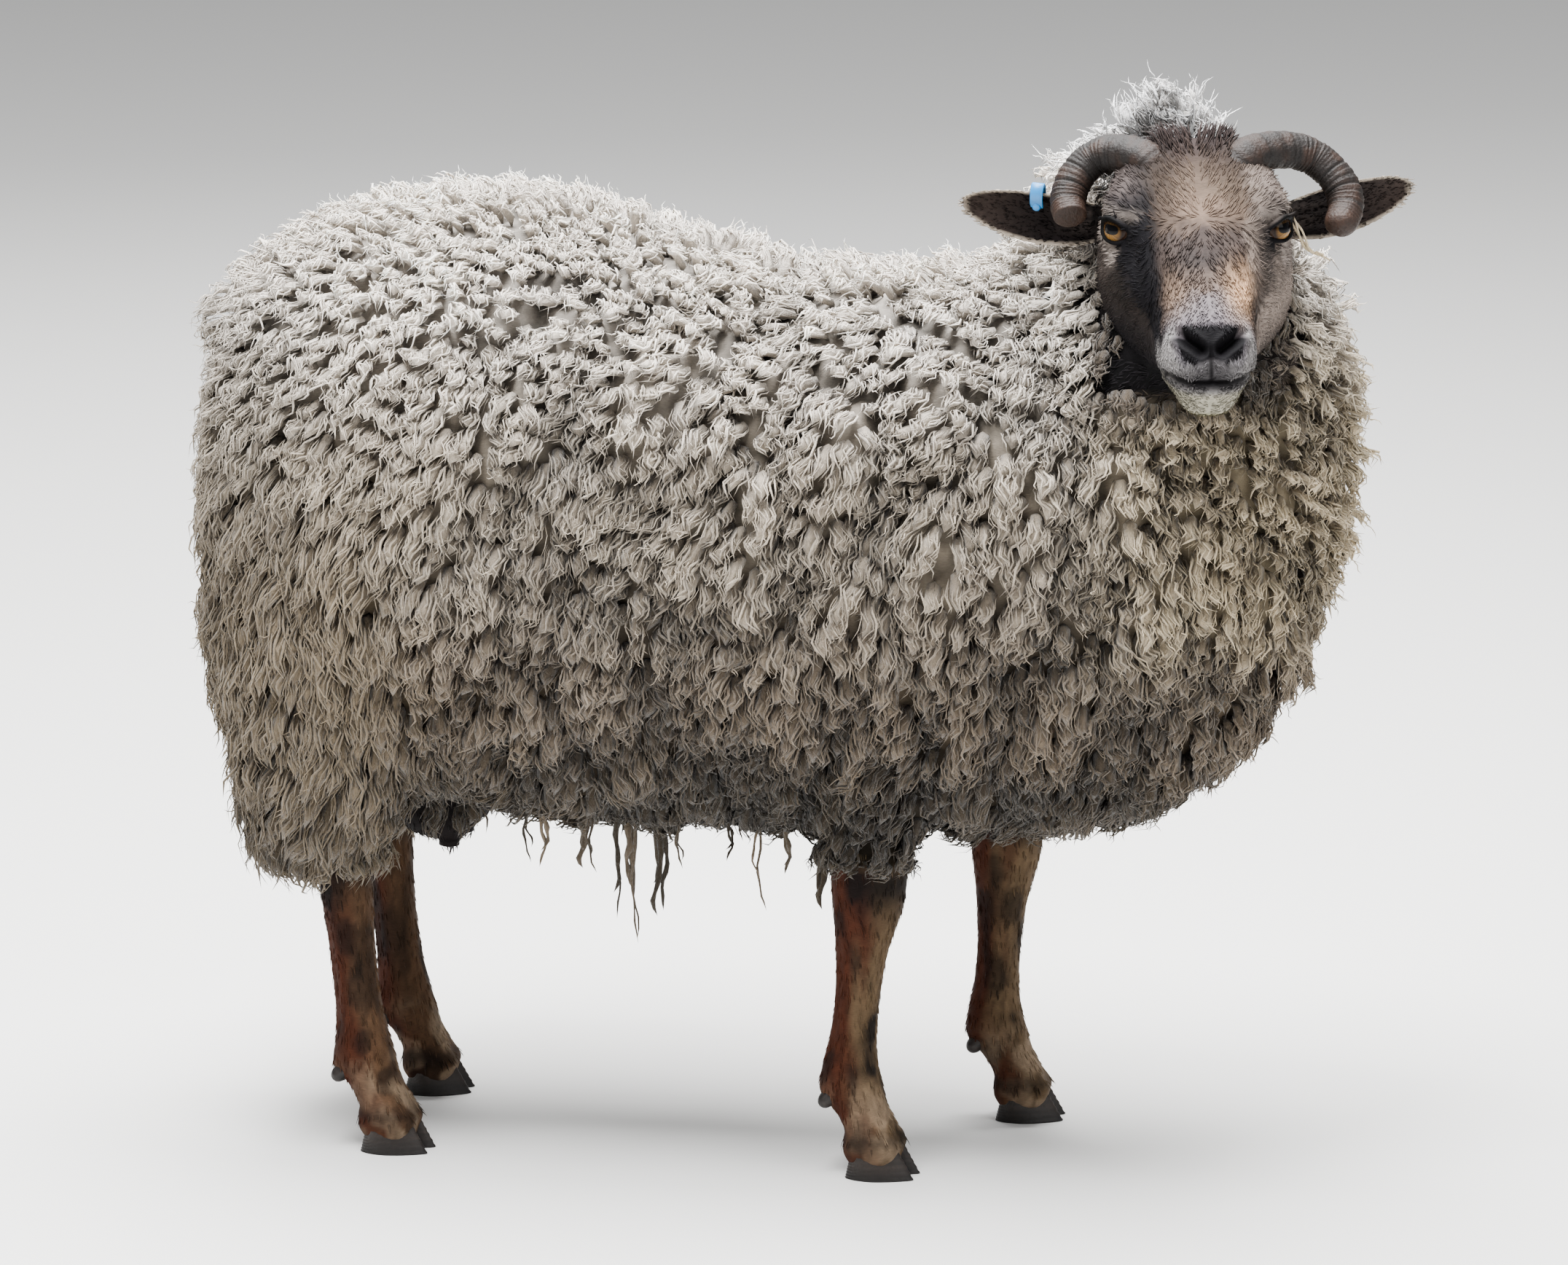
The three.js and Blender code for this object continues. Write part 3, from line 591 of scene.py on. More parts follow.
def udder_form(side):
    angle = np.linspace(0.12, math.pi - 0.12, 26)
    swell = UDDER["rx"] * 0.22
    teat = np.array([1.16, 1.12, 1.02])
    z = UDDER["z"] - UDDER["rz"] * np.concatenate([teat, np.cos(angle)])
    lower = np.array([swell * 0.6, swell, swell])
    long, wide = (np.concatenate([lower, np.maximum(UDDER[reach] * np.sin(angle), swell * (angle < 1.5))])
                  for reach in ("rx", "ry"))
    share = np.concatenate([[1, 1, 1], step(0.7, 0.12, angle)])
    centres = columns(UDDER["x"] + swell * share, side * UDDER["y"] * (1 + 0.1 * share), z)
    rings = ring_points(centres, AHEAD, LEFTWARD, long, wide, wide, 32)
    points, faces = closed_tube(rings * MM)
    return make_piece("udder_form", points, faces)


# ---- Fleece outline and skin ---------------------------------------------------------------------

FLESH = ["head", "neck", "trunk", "tail", "ear_right", "ear_left", "udder"] + list(LEGS)
LONG_COAT, CREST_COAT, BELLY_COAT, SHORT_COAT = 0.034, 0.022, 0.026, 0.012  # depths in metres
OUTLINE_VOXEL, SKIN_VOXEL, SHRINK_ROUNDS = 0.006, 0.007, 4


def coat_depth(p):
    """How deep the fleece is over the skin."""
    depth = np.full(len(p), LONG_COAT)
    depth = mix(depth, CREST_COAT, step(0.79, 0.84, p[:, 2]))
    depth = mix(depth, BELLY_COAT, step(0.36, 0.28, p[:, 2]))
    head = animal_to_head(p)
    near_head = step(-90, -40, head[:, 0]) * step(95, 80, np.abs(head[:, 1])) * step(-150, -118, head[:, 2])
    return mix(depth, SHORT_COAT, near_head)


def body_form(outline):
    """The body's skin under the fleece: the outline drawn in by the coat's depth, a little at a time, and
    let out again under each lump of wool."""
    body = add_object("skin", outline.data.copy())
    for _ in range(SHRINK_ROUNDS):
        p, n = mesh_points(body.data), mesh_normals(body.data)
        set_points(body.data, p - n * (coat_depth(p) / SHRINK_ROUNDS)[:, None])
        smooth(body, 3)
        remesh(body, SKIN_VOXEL)
    smooth(body, 4)
    p, n = mesh_points(body.data), mesh_normals(body.data)
    lump, _ = lumps(p)
    fluff = 0.004 * (noise(p, 0.013, 55) - 0.5)
    rise = np.maximum(coat_depth(p) - SHORT_COAT, 0) * 0.52 * lump ** 0.8 + fluff
    set_points(body.data, p + n * rise[:, None])
    return body


def fleece_outline():
    """The closed outline of the fleece, from copies of the solids."""
    building = bmesh.new()
    for node in ("head", "neck", "trunk", "tail", "udder"):
        building.from_mesh(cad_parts[node].data)
    mesh = bpy.data.meshes.new("outline")
    building.to_mesh(mesh)
    building.free()
    outline = add_object("outline", mesh)
    remesh(outline, OUTLINE_VOXEL)
    smooth(outline, 10)
    return outline


def unwrap(piece):
    """An unwrap of the skin's own shape, named OFBake."""
    bpy.ops.object.select_all(action="DESELECT")
    piece.select_set(True)
    bpy.context.view_layer.objects.active = piece
    while piece.data.uv_layers:
        piece.data.uv_layers.remove(piece.data.uv_layers[0])
    piece.data.uv_layers.new(name="OFBake")
    bpy.ops.object.mode_set(mode="EDIT")
    bpy.ops.mesh.select_all(action="SELECT")
    bpy.ops.uv.smart_project(angle_limit=math.radians(66), island_margin=0.002)
    bpy.ops.object.mode_set(mode="OBJECT")


# ---- Markings ------------------------------------------------------------------------------------

def palette(**tones):
    return {name: linear(tone) for name, tone in tones.items()}


# Top is partly painted light from above; low, thigh and belly are partly dirt, partly painted shade.
WOOL = palette(
    top="#fff6ea", flank="#c4b6a2", low="#7a6b59", belly="#3e3425", thigh="#887860", chest="#ccb996",
    # The tones under the head and for the depths of the locks carry painted shade.
    crest="#ffffff", band="#1b1514", throat="#4a3e33", stain="#75644f")
# Of these tones, the udder one is dark skin with painted shade, and the under one is painted shade.
HAIR = palette(
    charcoal="#08070a", cheek="#221d1b", cheek_low="#151315", cheek_left="#73675f", muzzle_pale="#716e6d",
    chin="#827e70", under="#5f5a34", nose="#060507", lip="#232124", brow="#645a55",
    brow_dark="#4d4543", brow_pale="#8f857e", tan_nose="#b99474", poll="#241c1b",
    ear="#100b0b", ear_back="#3c322d", rim="#94897c", russet="#34190e", leg_dark="#070505", tan="#4b3c2b",
    pale="#6b5b4a", udder="#110d0d")
# Of these tones, the one for the horn's grooves is painted shade.
HARD = palette(
    iris="#83602f", iris_edge="#2b1a0e", iris_rim="#1c100a", pupil="#060608", eye_corner="#2a1a12",
    eye_white="#7a6a5c", horn="#25150b", horn_dark="#0e0704", horn_base="#33221a", horn_tip="#332015",
    groove="#0f0b09", hoof="#352b25", hoof_dark="#120e0c", dewclaw="#2a2320", dewclaw_dark="#0c0a09",
    tag="#1676b6")


def wool_colour(p, n):
    """The fleece's colour at points of the animal, with the way each faces."""
    height = p[:, 2] + 0.03 * (noise(p, 0.11, 3) - 0.5)
    # Lighter high on the back where the wool faces up: partly paler wool, partly painted light from above.
    colour = over(WOOL["flank"], WOOL["top"], step(0.56, 0.74, height) * step(-0.3, 0.5, n[:, 2]))
    # Darker low down, on the lower thighs and under the belly: partly dirt, partly painted shade.
    colour = over(colour, WOOL["low"], step(0.56, 0.38, height))
    thigh = step(-0.22, -0.32, p[:, 0]) * step(0.64, 0.48, height)
    colour = over(colour, WOOL["thigh"] * mix(1.0, 0.6, step(0.42, 0.28, height))[:, None], 0.9 * thigh)
    chest = step(0.24, 0.36, p[:, 0]) * step(0.75, 0.6, height) * step(0.38, 0.50, height)
    colour = over(colour, WOOL["chest"], 0.85 * chest)
    colour = over(colour, WOOL["belly"], step(0.38, 0.29, height) * step(-0.32, -0.26, p[:, 0]))
    colour = over(colour, WOOL["crest"], step(0.79, 0.83, height))
    head = animal_to_head(p)
    band = bell((head[:, 0] + 96) / 21) * step(66, 50, np.abs(head[:, 1] + 10)) * step(0, 20, head[:, 2])
    # Darker brown wool under the head: brownish wool with painted shade.
    throat = step(95, 78, np.abs(head[:, 1])) * step(-148, -120, head[:, 2]) * step(30, 0, head[:, 2])
    throat = throat * step(-108, -80, head[:, 0])
    colour = over(colour, WOOL["band"], np.clip(band, 0, 1))
    colour = over(colour, WOOL["throat"], 0.9 * throat)
    dirt = step(0.52, 0.78, noise(p, (0.07, 0.07, 0.10), 6)) * step(0.66, 0.52, height)
    dirt = dirt * step(-0.30, -0.1, p[:, 0])
    colour = over(colour, WOOL["low"] * (0.92, 0.95, 1.0), 0.55 * dirt)
    # A random tone over all; the rear face of the rump is darkened as painted shade.
    rump = step(-0.30, -0.40, p[:, 0]) * step(0.75, 0.66, height)
    return colour * ((0.86 + 0.26 * noise(p, 0.045, 5)) * mix(1.0, 0.72, rump))[:, None]


def spot(head, at, spread):
    """1 at a place on both sides of the head, fading over spread."""
    away = columns(head[:, 0] - at[0], np.abs(head[:, 1]) - at[1], head[:, 2] - at[2]) / spread
    return bell(np.linalg.norm(away, axis=1))


# The face's colour along the top of the nose and forehead: place along the head, colour
BRIDGE = [(-104, "#241c1a"), (-60, "#2b2321"), (-42, "#302826"), (-24, "#3a302a"), (4, "#504339"),
          (28, "#5f4f44"), (50, "#352d2a"), (76, "#282322"), (100, "#4c413b"), (122, "#625c5e"),
          (140, "#585358"), (158, "#403e43")]
DARK_BAND = [(0, 15), (12, 10), (34, -4), (62, -22), (92, -36), (108, -48)]  # along and up, beside the nose


def along_bridge(x):
    table = np.array([linear(colour) for _, colour in BRIDGE])
    places = [place for place, _ in BRIDGE]
    return np.stack([np.interp(x, places, table[:, k]) for k in range(3)], -1)


def face_colour(head):
    x, y, z = head.T
    side = np.abs(y)
    left = step(-12, 12, y)
    wander = (noise(head, 12, 21) - 0.5) * 15 + (noise(head, 4, 22) - 0.5) * 7
    cheek = over(HAIR["cheek"], HAIR["cheek_low"], step(-34, -84, z + wander))
    cheek = over(cheek, HAIR["cheek_left"], left)
    cheek = over(cheek, HAIR["cheek_low"], 0.75 * (left * step(-40, -88, z + wander)))
    cheek = over(cheek, HAIR["brow"], spot(head, (-4, 66, -22), (22, 20, 13)) * mix(0.75, 1.0, left))
    slope = step(-44, -22, z + 0.30 * x)
    colour = over(cheek, along_bridge(x + wander), step(44, 30, side + 0.7 * wander) * slope)
    tan = spot(head + wander[:, None] * 0.3, (98, 27, -17), (34, 12, 15))
    colour = over(colour, HAIR["tan_nose"], tan * mix(0.12, 0.85, left))
    aside = step(5, 27, side + 0.4 * wander) * step(56, 36, x) * slope
    colour = colour * mix(1.0, mix(0.42, 0.62, left), aside)[:, None]
    band = line_distance(columns(x, z), DARK_BAND) + 0.45 * wander
    wide = mix(16.0, 10.5, left) + mix(8, 0, left) * step(60, 100, x)
    beside = step(24, 38, side + 0.5 * wander) * step(wide + 8, wide - 6, band)
    colour = over(colour, HAIR["charcoal"], beside * mix(0.99, 0.72, left))
    brow = spot(head, (-22, 56, 30), (20, 16, 13))
    colour = over(colour, over(HAIR["brow_dark"], HAIR["brow"], left), 0.85 * brow)
    colour = over(colour, HAIR["poll"], 0.92 * (step(-40, -62, x + wander) * step(8, 26, z)))
    tuft = spot(head + wander[:, None] * 0.2, (-36, 8, 56), (14, 16, 20))
    colour = over(colour, HAIR["poll"], 0.8 * tuft)
    lower = step(-46, -62, z + 0.5 * wander) * step(88, 108, x)
    sides = step(22, 32, side + 0.3 * wander) * step(116, 130, x) * step(-16, -30, z)
    colour = over(colour, HAIR["muzzle_pale"], np.clip(0.75 * lower + 0.95 * sides, 0, 1))
    below = step(94, 108, x)
    colour = over(colour, HAIR["chin"], below * step(-76, -86, z))
    # The underside of the chin is darker and olive: painted shade under the jaw, with a green tint.
    colour = over(colour, HAIR["under"], 0.75 * (below * step(-99, -107, z)))
    front = step(128, 140, x)
    nostril = line_distance(columns(side, z), NOSTRIL)
    middle = step(26, 19, side) * step(-54, -48, z + 0.2 * wander) * step(-25, -33, z + 0.1 * side)
    pad = front * np.clip(bell(nostril / 8.0) + middle, 0, 1)
    colour = over(colour, HAIR["nose"], np.clip(1.6 * pad - 0.15, 0, 1))
    upper = front * step(30, 4, side + 0.5 * wander) * step(-80, -70, z) * step(-46, -60, z)
    colour = over(colour, HAIR["lip"], 0.72 * upper)
    philtrum = front * bell(side / 1.8) * step(-72, -66, z) * step(-42, -48, z)
    colour = over(colour, HAIR["nose"], 0.8 * philtrum)
    lips = step(MOUTH_CORNER + 4, MOUTH_CORNER + 30, x) * bell((z - lip_line(x) + 1.5) / 5.5)
    lips = lips * mix(1.0, step(37, 24, side), step(118, 134, x))
    colour = over(colour, HAIR["nose"], 0.88 * lips)
    for sign in SIDES.values():
        distance, _, place, rise = lid_measure(head, sign)
        close = step(36, 26, distance)
        ring = bell((place - 1.95) / 0.30) * close
        colour = over(colour, HAIR["brow_pale"], 0.65 * ring * mix(0.5, 1, step(0.1, -0.3, rise)))
        colour = over(colour, HAIR["nose"], step(1.42, 1.16, place) * close)
        tear = bell(np.linalg.norm((head - (22, 50 * sign, -9)) / (13, 8, 9), axis=1))
        colour = over(colour, HAIR["charcoal"], 0.9 * tear)
    grain = noise(head, (8, 2.0, 2.0), 31) * 0.6 + noise(head, (3, 1, 1), 32) * 0.4
    return colour * (0.68 + 0.76 * grain)[:, None]


def leg_colour(p, n):
    """Red-brown behind and tan in front, black over the near knee and in patches down the front."""
    height = p[:, 2] / MM
    streak = noise(p, (0.010, 0.010, 0.045), 41)
    fore = step(-0.05, 0.0, p[:, 0])
    near = step(0.0, -0.02, p[:, 1])
    ahead = step(-0.35, 0.55, n[:, 0] + 0.9 * (streak - 0.5))
    colour = over(HAIR["russet"], HAIR["tan"], ahead * mix(0.55, 1.0, fore))
    dark_streak = (1 - fore) * 0.6 * step(0.5, 0.75, streak) * step(60, 110, height)
    colour = over(colour, HAIR["leg_dark"], dark_streak)
    knee = fore * near * bell((height - 240) / 26) * step(-0.5, 0.1, n[:, 0])
    upper = fore * (1 - near) * step(222, 252, height)
    stripe = fore * bell((height - 118) / 42) * bell((n[:, 0] - 0.55 + 0.5 * n[:, 1]) / 0.5)
    stripe = stripe * step(0.35, 0.6, noise(p, (0.012, 0.012, 0.02), 44)) * mix(0.6, 1.0, near)
    blotch = step(0.60, 0.74, noise(p, (0.016, 0.016, 0.03), 42)) * 0.7
    # The tops of the hind legs are darkened as painted shadow under the body; the far foreleg's top is darker
    # too.
    thigh = (1 - fore) * step(195, 240, height)
    dark = np.clip(knee + 0.85 * upper + stripe + blotch + 0.7 * thigh, 0, 1)
    colour = over(colour, HAIR["leg_dark"], 0.93 * dark)
    pale = step(90, 52, height) * (0.35 + 0.65 * ahead)
    colour = over(colour, HAIR["pale"], 0.85 * pale * step(0.70, 0.5, noise(p, 0.014, 45)))
    colour = over(colour, HAIR["leg_dark"], 0.6 * bell((height - 32) / 6))
    grain = noise(p, (0.002, 0.002, 0.009), 43)
    return colour * (0.6 + 0.8 * grain)[:, None]


def on_ear(head):
    """Whether points of the head's frame are on an ear."""
    x, side, z = head[:, 0], np.abs(head[:, 1]), head[:, 2]
    return (side > 78) & (side < 190) & (x < -38) & (x > -116) & (np.abs(z) < 34)


def in_ear(head):
    """Whether points of the head's frame are on the flap of an ear itself."""
    inside = np.zeros(len(head), bool)
    for side in SIDES.values():
        t = place_along_ear(head, side)
        place, _, wide, front = ear_frame(side, np.clip(t, 0, 1))
        away = head - place
        flat = np.abs(np.sum(away * wide, axis=1)) < ear_half_width(np.clip(t, 0, 1)) + 4
        inside |= (t > 0.05) & flat & (np.abs(away @ front) < EAR_CUP + 4)
    return inside


def ear_colour(head, facing_way):
    colour = np.broadcast_to(HAIR["ear"], head.shape)
    rim = np.zeros(len(head))
    for side in SIDES.values():
        mine = step(0, 5, head[:, 1] * side)
        t = np.clip(place_along_ear(head, side), 0, 1)
        place, _, wide, front = ear_frame(side, t)
        across = np.abs(np.sum((head - place) * wide, axis=1))
        behind = mine * step(-0.1, 0.3, facing_way @ front)
        colour = over(colour, HAIR["ear_back"], behind)
        inner = mine * step(0.5, 0.1, t) * bell((across - 6) / 5)
        colour = over(colour, HAIR["brow"], 0.2 * inner)
        rim += mine * step(-3.0, -0.6, across - ear_half_width(t)) + mine * 0.6 * step(0.95, 1, t)
        outer = mine * step(0.45, 0.95, t) * (1 - behind)
        colour = over(colour, HAIR["ear_back"], 0.45 * outer)
    grain = 0.65 + 0.7 * noise(head, 2.5, 51)
    return over(colour, HAIR["rim"], np.clip(rim, 0, 1)) * grain[:, None]


def markings(p, n):
    """The colour of skin and coat alike at any point of the animal."""
    head = animal_to_head(p)
    colour = wool_colour(p, n)
    leg = step(0.262, 0.25, p[:, 2])
    colour = np.where((leg > 0)[:, None], over(colour, leg_colour(p, n), leg), colour)
    # The udder is nearly black: its dark skin with painted shade under the belly.
    udder = bell((p[:, 0] - UDDER["x"] * MM) / 0.055) * bell(p[:, 1] / 0.075) * step(0.292, 0.282, p[:, 2])
    udder = np.clip(2 * udder, 0, 1) * step(0.215, 0.225, p[:, 2])
    colour = over(colour, HAIR["udder"], udder)
    x, side, z = head[:, 0], np.abs(head[:, 1]), head[:, 2]
    face = step(-82, -60, x) * step(100, 88, side) * step(-135, -118, z) * step(90, 76, z)
    colour = over(colour, face_colour(head), face)
    return np.where(on_ear(head)[:, None], ear_colour(head, n @ HEAD_TURN), colour)


# ---- Materials -----------------------------------------------------------------------------------

def plain_material(name, **sockets):
    material = bpy.data.materials.new(name)
    material.use_nodes = True
    shader = material.node_tree.nodes["Principled BSDF"]
    for socket, value in sockets.items():
        shader.inputs[socket.replace("_", " ")].default_value = value
    return material, shader


def marked_material(name, roughness, grain, tones, bump=None, stretch=None, **sockets):
    """A surface in the piece's own markings, darkened and lightened by a noise and roughened by the same
    noise. grain is the noise's scale, detail and distortion; tones the darkest and lightest; bump its
    strength and depth; stretch how the noise is turned and scaled."""
    material, shader = plain_material(name, Roughness=roughness, **sockets)
    nodes, links = material.node_tree.nodes, material.node_tree.links
    texture = nodes.new("ShaderNodeTexNoise")
    for socket, value in zip(("Scale", "Detail", "Distortion"), grain):
        texture.inputs[socket].default_value = value
    vector = nodes.new("ShaderNodeTexCoord").outputs["Object"]
    if stretch:
        mapping = nodes.new("ShaderNodeMapping")
        mapping.inputs["Rotation"].default_value, mapping.inputs["Scale"].default_value = stretch
        links.new(vector, mapping.inputs["Vector"])
        vector = mapping.outputs["Vector"]
    links.new(vector, texture.inputs["Vector"])
    markings_node = nodes.new("ShaderNodeVertexColor")
    markings_node.layer_name = "Coat"
    spread = nodes.new("ShaderNodeMapRange")
    spread.inputs["To Min"].default_value, spread.inputs["To Max"].default_value = tones
    links.new(texture.outputs["Fac"], spread.inputs["Value"])
    tint = nodes.new("ShaderNodeVectorMath")
    tint.operation = "SCALE"
    links.new(markings_node.outputs["Color"], tint.inputs[0])
    links.new(spread.outputs["Result"], tint.inputs["Scale"])
    links.new(tint.outputs["Vector"], shader.inputs["Base Color"])
    if bump:
        relief = nodes.new("ShaderNodeBump")
        relief.inputs["Strength"].default_value, relief.inputs["Distance"].default_value = bump
        links.new(texture.outputs["Fac"], relief.inputs["Height"])
        links.new(relief.outputs["Normal"], shader.inputs["Normal"])
    return material


# ---- Locks and tufts -----------------------------------------------------------------------------

PATCH = 0.003  # how wide each tuft's own place on the OFBake map is
PIECE_LIMIT = 190000  # triangles in one piece of the coat


def strands(centres, side, up, width, thickness, sides):
    """Closed tapered strands. centres is (strands, stations, 3): the first and last stations are points,
    the rest are rings. Returns points (strands, points, 3), faces for all, and each point's station."""
    count, stations = centres.shape[:2]
    rings = stations - 2
    angle = math.pi / 2 + turns(sides)
    inner = centres[:, 1:-1, None]
    loops = (inner + side[:, 1:-1, None] * (width[:, 1:-1, None] * np.cos(angle))[..., None]
             + up[:, 1:-1, None] * (thickness[:, 1:-1, None] * np.sin(angle))[..., None])
    points = np.concatenate([centres[:, :1], loops.reshape(count, -1, 3), centres[:, -1:]], axis=1)
    each = points.shape[1]
    here = np.arange(sides)
    after = (here + 1) % sides
    faces = [columns(np.zeros(sides, int), 1 + after, 1 + here)]
    for r in range(rings - 1):
        a, b = 1 + r * sides, 1 + (r + 1) * sides
        faces.append(columns(a + here, a + after, b + after))
        faces.append(columns(a + here, b + after, b + here))
    a = 1 + (rings - 1) * sides
    faces.append(columns(np.full(sides, each - 1), a + here, a + after))
    pattern = np.concatenate(faces)
    everything = (np.arange(count)[:, None, None] * each + pattern).reshape(-1, 3)
    station = np.concatenate([[0], np.repeat(np.arange(1, stations - 1), sides), [stations - 1]])
    around = np.concatenate([[0.5], np.tile(here / sides, rings), [0.5]])
    return points, everything, station / (stations - 1), around


def facing(centres, side):
    """The way up for each station, square to the strand and to its side."""
    along = unit(np.gradient(centres, axis=1))
    up = unit(np.cross(side, along))
    return unit(np.cross(along, up)), up


def coat_pieces(name, centres, side, n, width, flatness, sides, uv, colour, shade, material):
    """Makes strands into pieces of the coat, each rooted where the skin's normal is n and its place on the
    OFBake map is uv. colour is (strands, 3); width and shade go by station, for one strand or for all."""
    side = np.broadcast_to(side if side.ndim == 3 else side[:, None], centres.shape)
    width = np.broadcast_to(width, centres.shape[:2])
    shade = np.broadcast_to(shade, centres.shape[:2])
    side, up = facing(centres, side)
    flip = np.sign(dots(up.mean(1), n))[:, None]
    up = up * np.where(flip == 0, 1, flip)
    points, faces, along, around = strands(centres, side, up, width, width * flatness, sides)
    each, stations = points.shape[1], centres.shape[1]
    tris = len(faces) // len(centres)
    station = np.rint(along * (stations - 1)).astype(int)
    tint = colour[:, None] * shade[:, station][..., None]
    uv = uv[:, None] + PATCH * columns(around - 0.5, along - 0.5)
    pieces = max(1, math.ceil(len(centres) * tris / PIECE_LIMIT))
    for k, part in enumerate(np.array_split(np.arange(len(centres)), pieces)):
        first = part[0]
        own = faces[first * tris:(part[-1] + 1) * tris] - first * each
        piece = make_piece(name if pieces == 1 else f"{name}_{k + 1}", points[part].reshape(-1, 3), [own],
                           np.clip(tint[part].reshape(-1, 3), 0, 1), uv[part].reshape(-1, 2))
        dress(piece, material)


def dress(piece, material, replaced=()):
    piece.data.materials.clear()
    piece.data.materials.append(material)
    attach(piece, "root")
    if replaced:
        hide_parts(*replaced)
    return piece


class Skin:
    """The finished skin as arrays, for rooting the coat."""

    def __init__(self, mesh):
        mesh.calc_loop_triangles()
        self.points = mesh_points(mesh)
        self.normals = mesh_normals(mesh)
        self.corners = read(mesh.loop_triangles, "vertices", 3, np.int32)
        uv = read(mesh.uv_layers["OFBake"].data, "uv", 2)
        self.uv = uv[read(mesh.loop_triangles, "loops", 3, np.int32)]
        a, b, c = (self.points[self.corners[:, k]] for k in range(3))
        self.area = np.linalg.norm(np.cross(b - a, c - a), axis=1) / 2
        self.middle = (a + b + c) / 3

    def scatter(self, count, weight):
        """count roots spread over the skin by weight (one for each triangle): place, normal, OFBake place."""
        share = np.cumsum(self.area * weight)
        picked = np.searchsorted(share, rng.random(count) * share[-1])
        a, b = rng.random((2, count))
        over = a + b > 1
        a, b = np.where(over, 1 - a, a), np.where(over, 1 - b, b)
        weights = columns(1 - a - b, a, b)[..., None]
        corner = self.corners[picked]
        return ((self.points[corner] * weights).sum(1), unit((self.normals[corner] * weights).sum(1)),
                (self.uv[picked] * weights).sum(1))


def thinned(points, spacing):
    """Indices of points kept so that none is nearer another than spacing (one for each point)."""
    cell = float(spacing.max())
    grid = {}
    kept = []
    keys = np.floor(points / cell).astype(int)
    for i, (p, key) in enumerate(zip(points, map(tuple, keys))):
        near = (j for dx in (-1, 0, 1) for dy in (-1, 0, 1) for dz in (-1, 0, 1)
                for j in grid.get((key[0] + dx, key[1] + dy, key[2] + dz), ()))
        reach = spacing[i] ** 2
        if all((p[0] - points[j, 0]) ** 2 + (p[1] - points[j, 1]) ** 2 + (p[2] - points[j, 2]) ** 2 > reach
               for j in near):
            grid.setdefault(key, []).append(i)
            kept.append(i)
    return np.array(kept)


# ---- Fleece --------------------------------------------------------------------------------------

NECK_BASE_X, NECK_BASE_Z = 0.118, 0.762  # where the line of the back turns up into the neck
HEM_BEFORE, HEM_BEHIND = 0.252, 0.222  # height of the lowest wool, before and at the thighs
DEEPEST_FLEECE = 0.07
ROOTS_TRIED, LOCK_SPACING = 40000, 1.4  # roots over the whole skin, and how many half widths apart
STRANDS_PER_LOCK, STRAND_STATIONS = 9, 5
SHORTEST_LOCK, SHORT_LOCK = 0.007, 0.0205  # locks below the second are curls
ROOT_SUNK = 0.002  # how far a lock starts under the skin
LOCK_SWELL = [(0, 0.7), (0.3, 0.95), (0.6, 1.0), (0.85, 0.72), (1, 0.28)]  # place along a lock, girth
WISP_WIDTHS = np.array([0, 0.0005, 0.0005, 0.0004, 0])
WISPS, FACE_HAIRS, LEG_HAIRS = 4200, 14000, 5000

# How the wool grows in each region: how far a lock reaches along the body, its half width, the swing of its
# curl, how many curls, and how much it is drawn towards the middle of its clump
WOOL_FORM = {
    "flank": (0.026, 0.0073, 0.0030, 1.8, 0.24),
    "rump": (0.018, 0.0066, 0.0030, 1.7, 0.10),
    "thigh": (0.046, 0.0074, 0.0030, 1.6, 0.12),
    "neck": (0.016, 0.0063, 0.0034, 1.9, 0.24),
    "chest": (0.024, 0.0072, 0.0034, 1.8, 0.22),
    "crest": (0.017, 0.0050, 0.0022, 1.3, 0.04),
    "belly": (0.026, 0.0080, 0.0028, 1.6, 0.20),
}


def wool_regions(p, n):
    """How much each point belongs to each region of the fleece."""
    x, _, z = p.T
    lean = math.radians(41)
    above_neck = (z - NECK_BASE_Z) * math.cos(lean) + (x - NECK_BASE_X) * math.sin(lean)
    neck = step(-0.03, 0.03, above_neck)
    share = {
        "crest": 3 * step(0.775, 0.81, z) * neck,
        "neck": 1.5 * neck,
        "rump": step(-0.02, -0.12, x) * step(0.60, 0.68, z) * 1.5,
        "thigh": step(-0.24, -0.32, x) * step(0.60, 0.48, z) * 1.5,
        "chest": step(0.22, 0.32, x) * step(0.56, 0.46, z) * 1.5,
        "belly": step(-0.3, -0.7, n[:, 2]) * step(0.36, 0.30, z) * 3,
        "flank": np.full(len(p), 0.35),
    }
    total = sum(share.values())
    return {name: value / total for name, value in share.items()}


def wool_lie(p, n):
    """The way the locks lie: down the sides, outward and back along the spine, with a little wander."""
    down, back = -UPWARD, -AHEAD
    out = columns(0 * p[:, 0], np.where(np.abs(p[:, 1]) < 0.004, 0.3, np.sign(p[:, 1])), 0 * p[:, 0])
    top = step(0.35, 0.9, n[:, 2])[:, None]
    lie = down + 0.22 * back + top * (0.9 * out + 0.5 * back)
    wander = np.stack([noise(p, 0.05, 60 + k) - 0.5 for k in range(3)], 1)
    lie = lie + 0.8 * wander + 0.35 * (rng.random(p.shape) - 0.5)
    crest = step(0.79, 0.83, p[:, 2])[:, None]
    lie = mix(lie, lie * (0.4, 0.4, 0) + (-0.2, 0.0, 1.0), crest)
    return along_skin(lie, n)


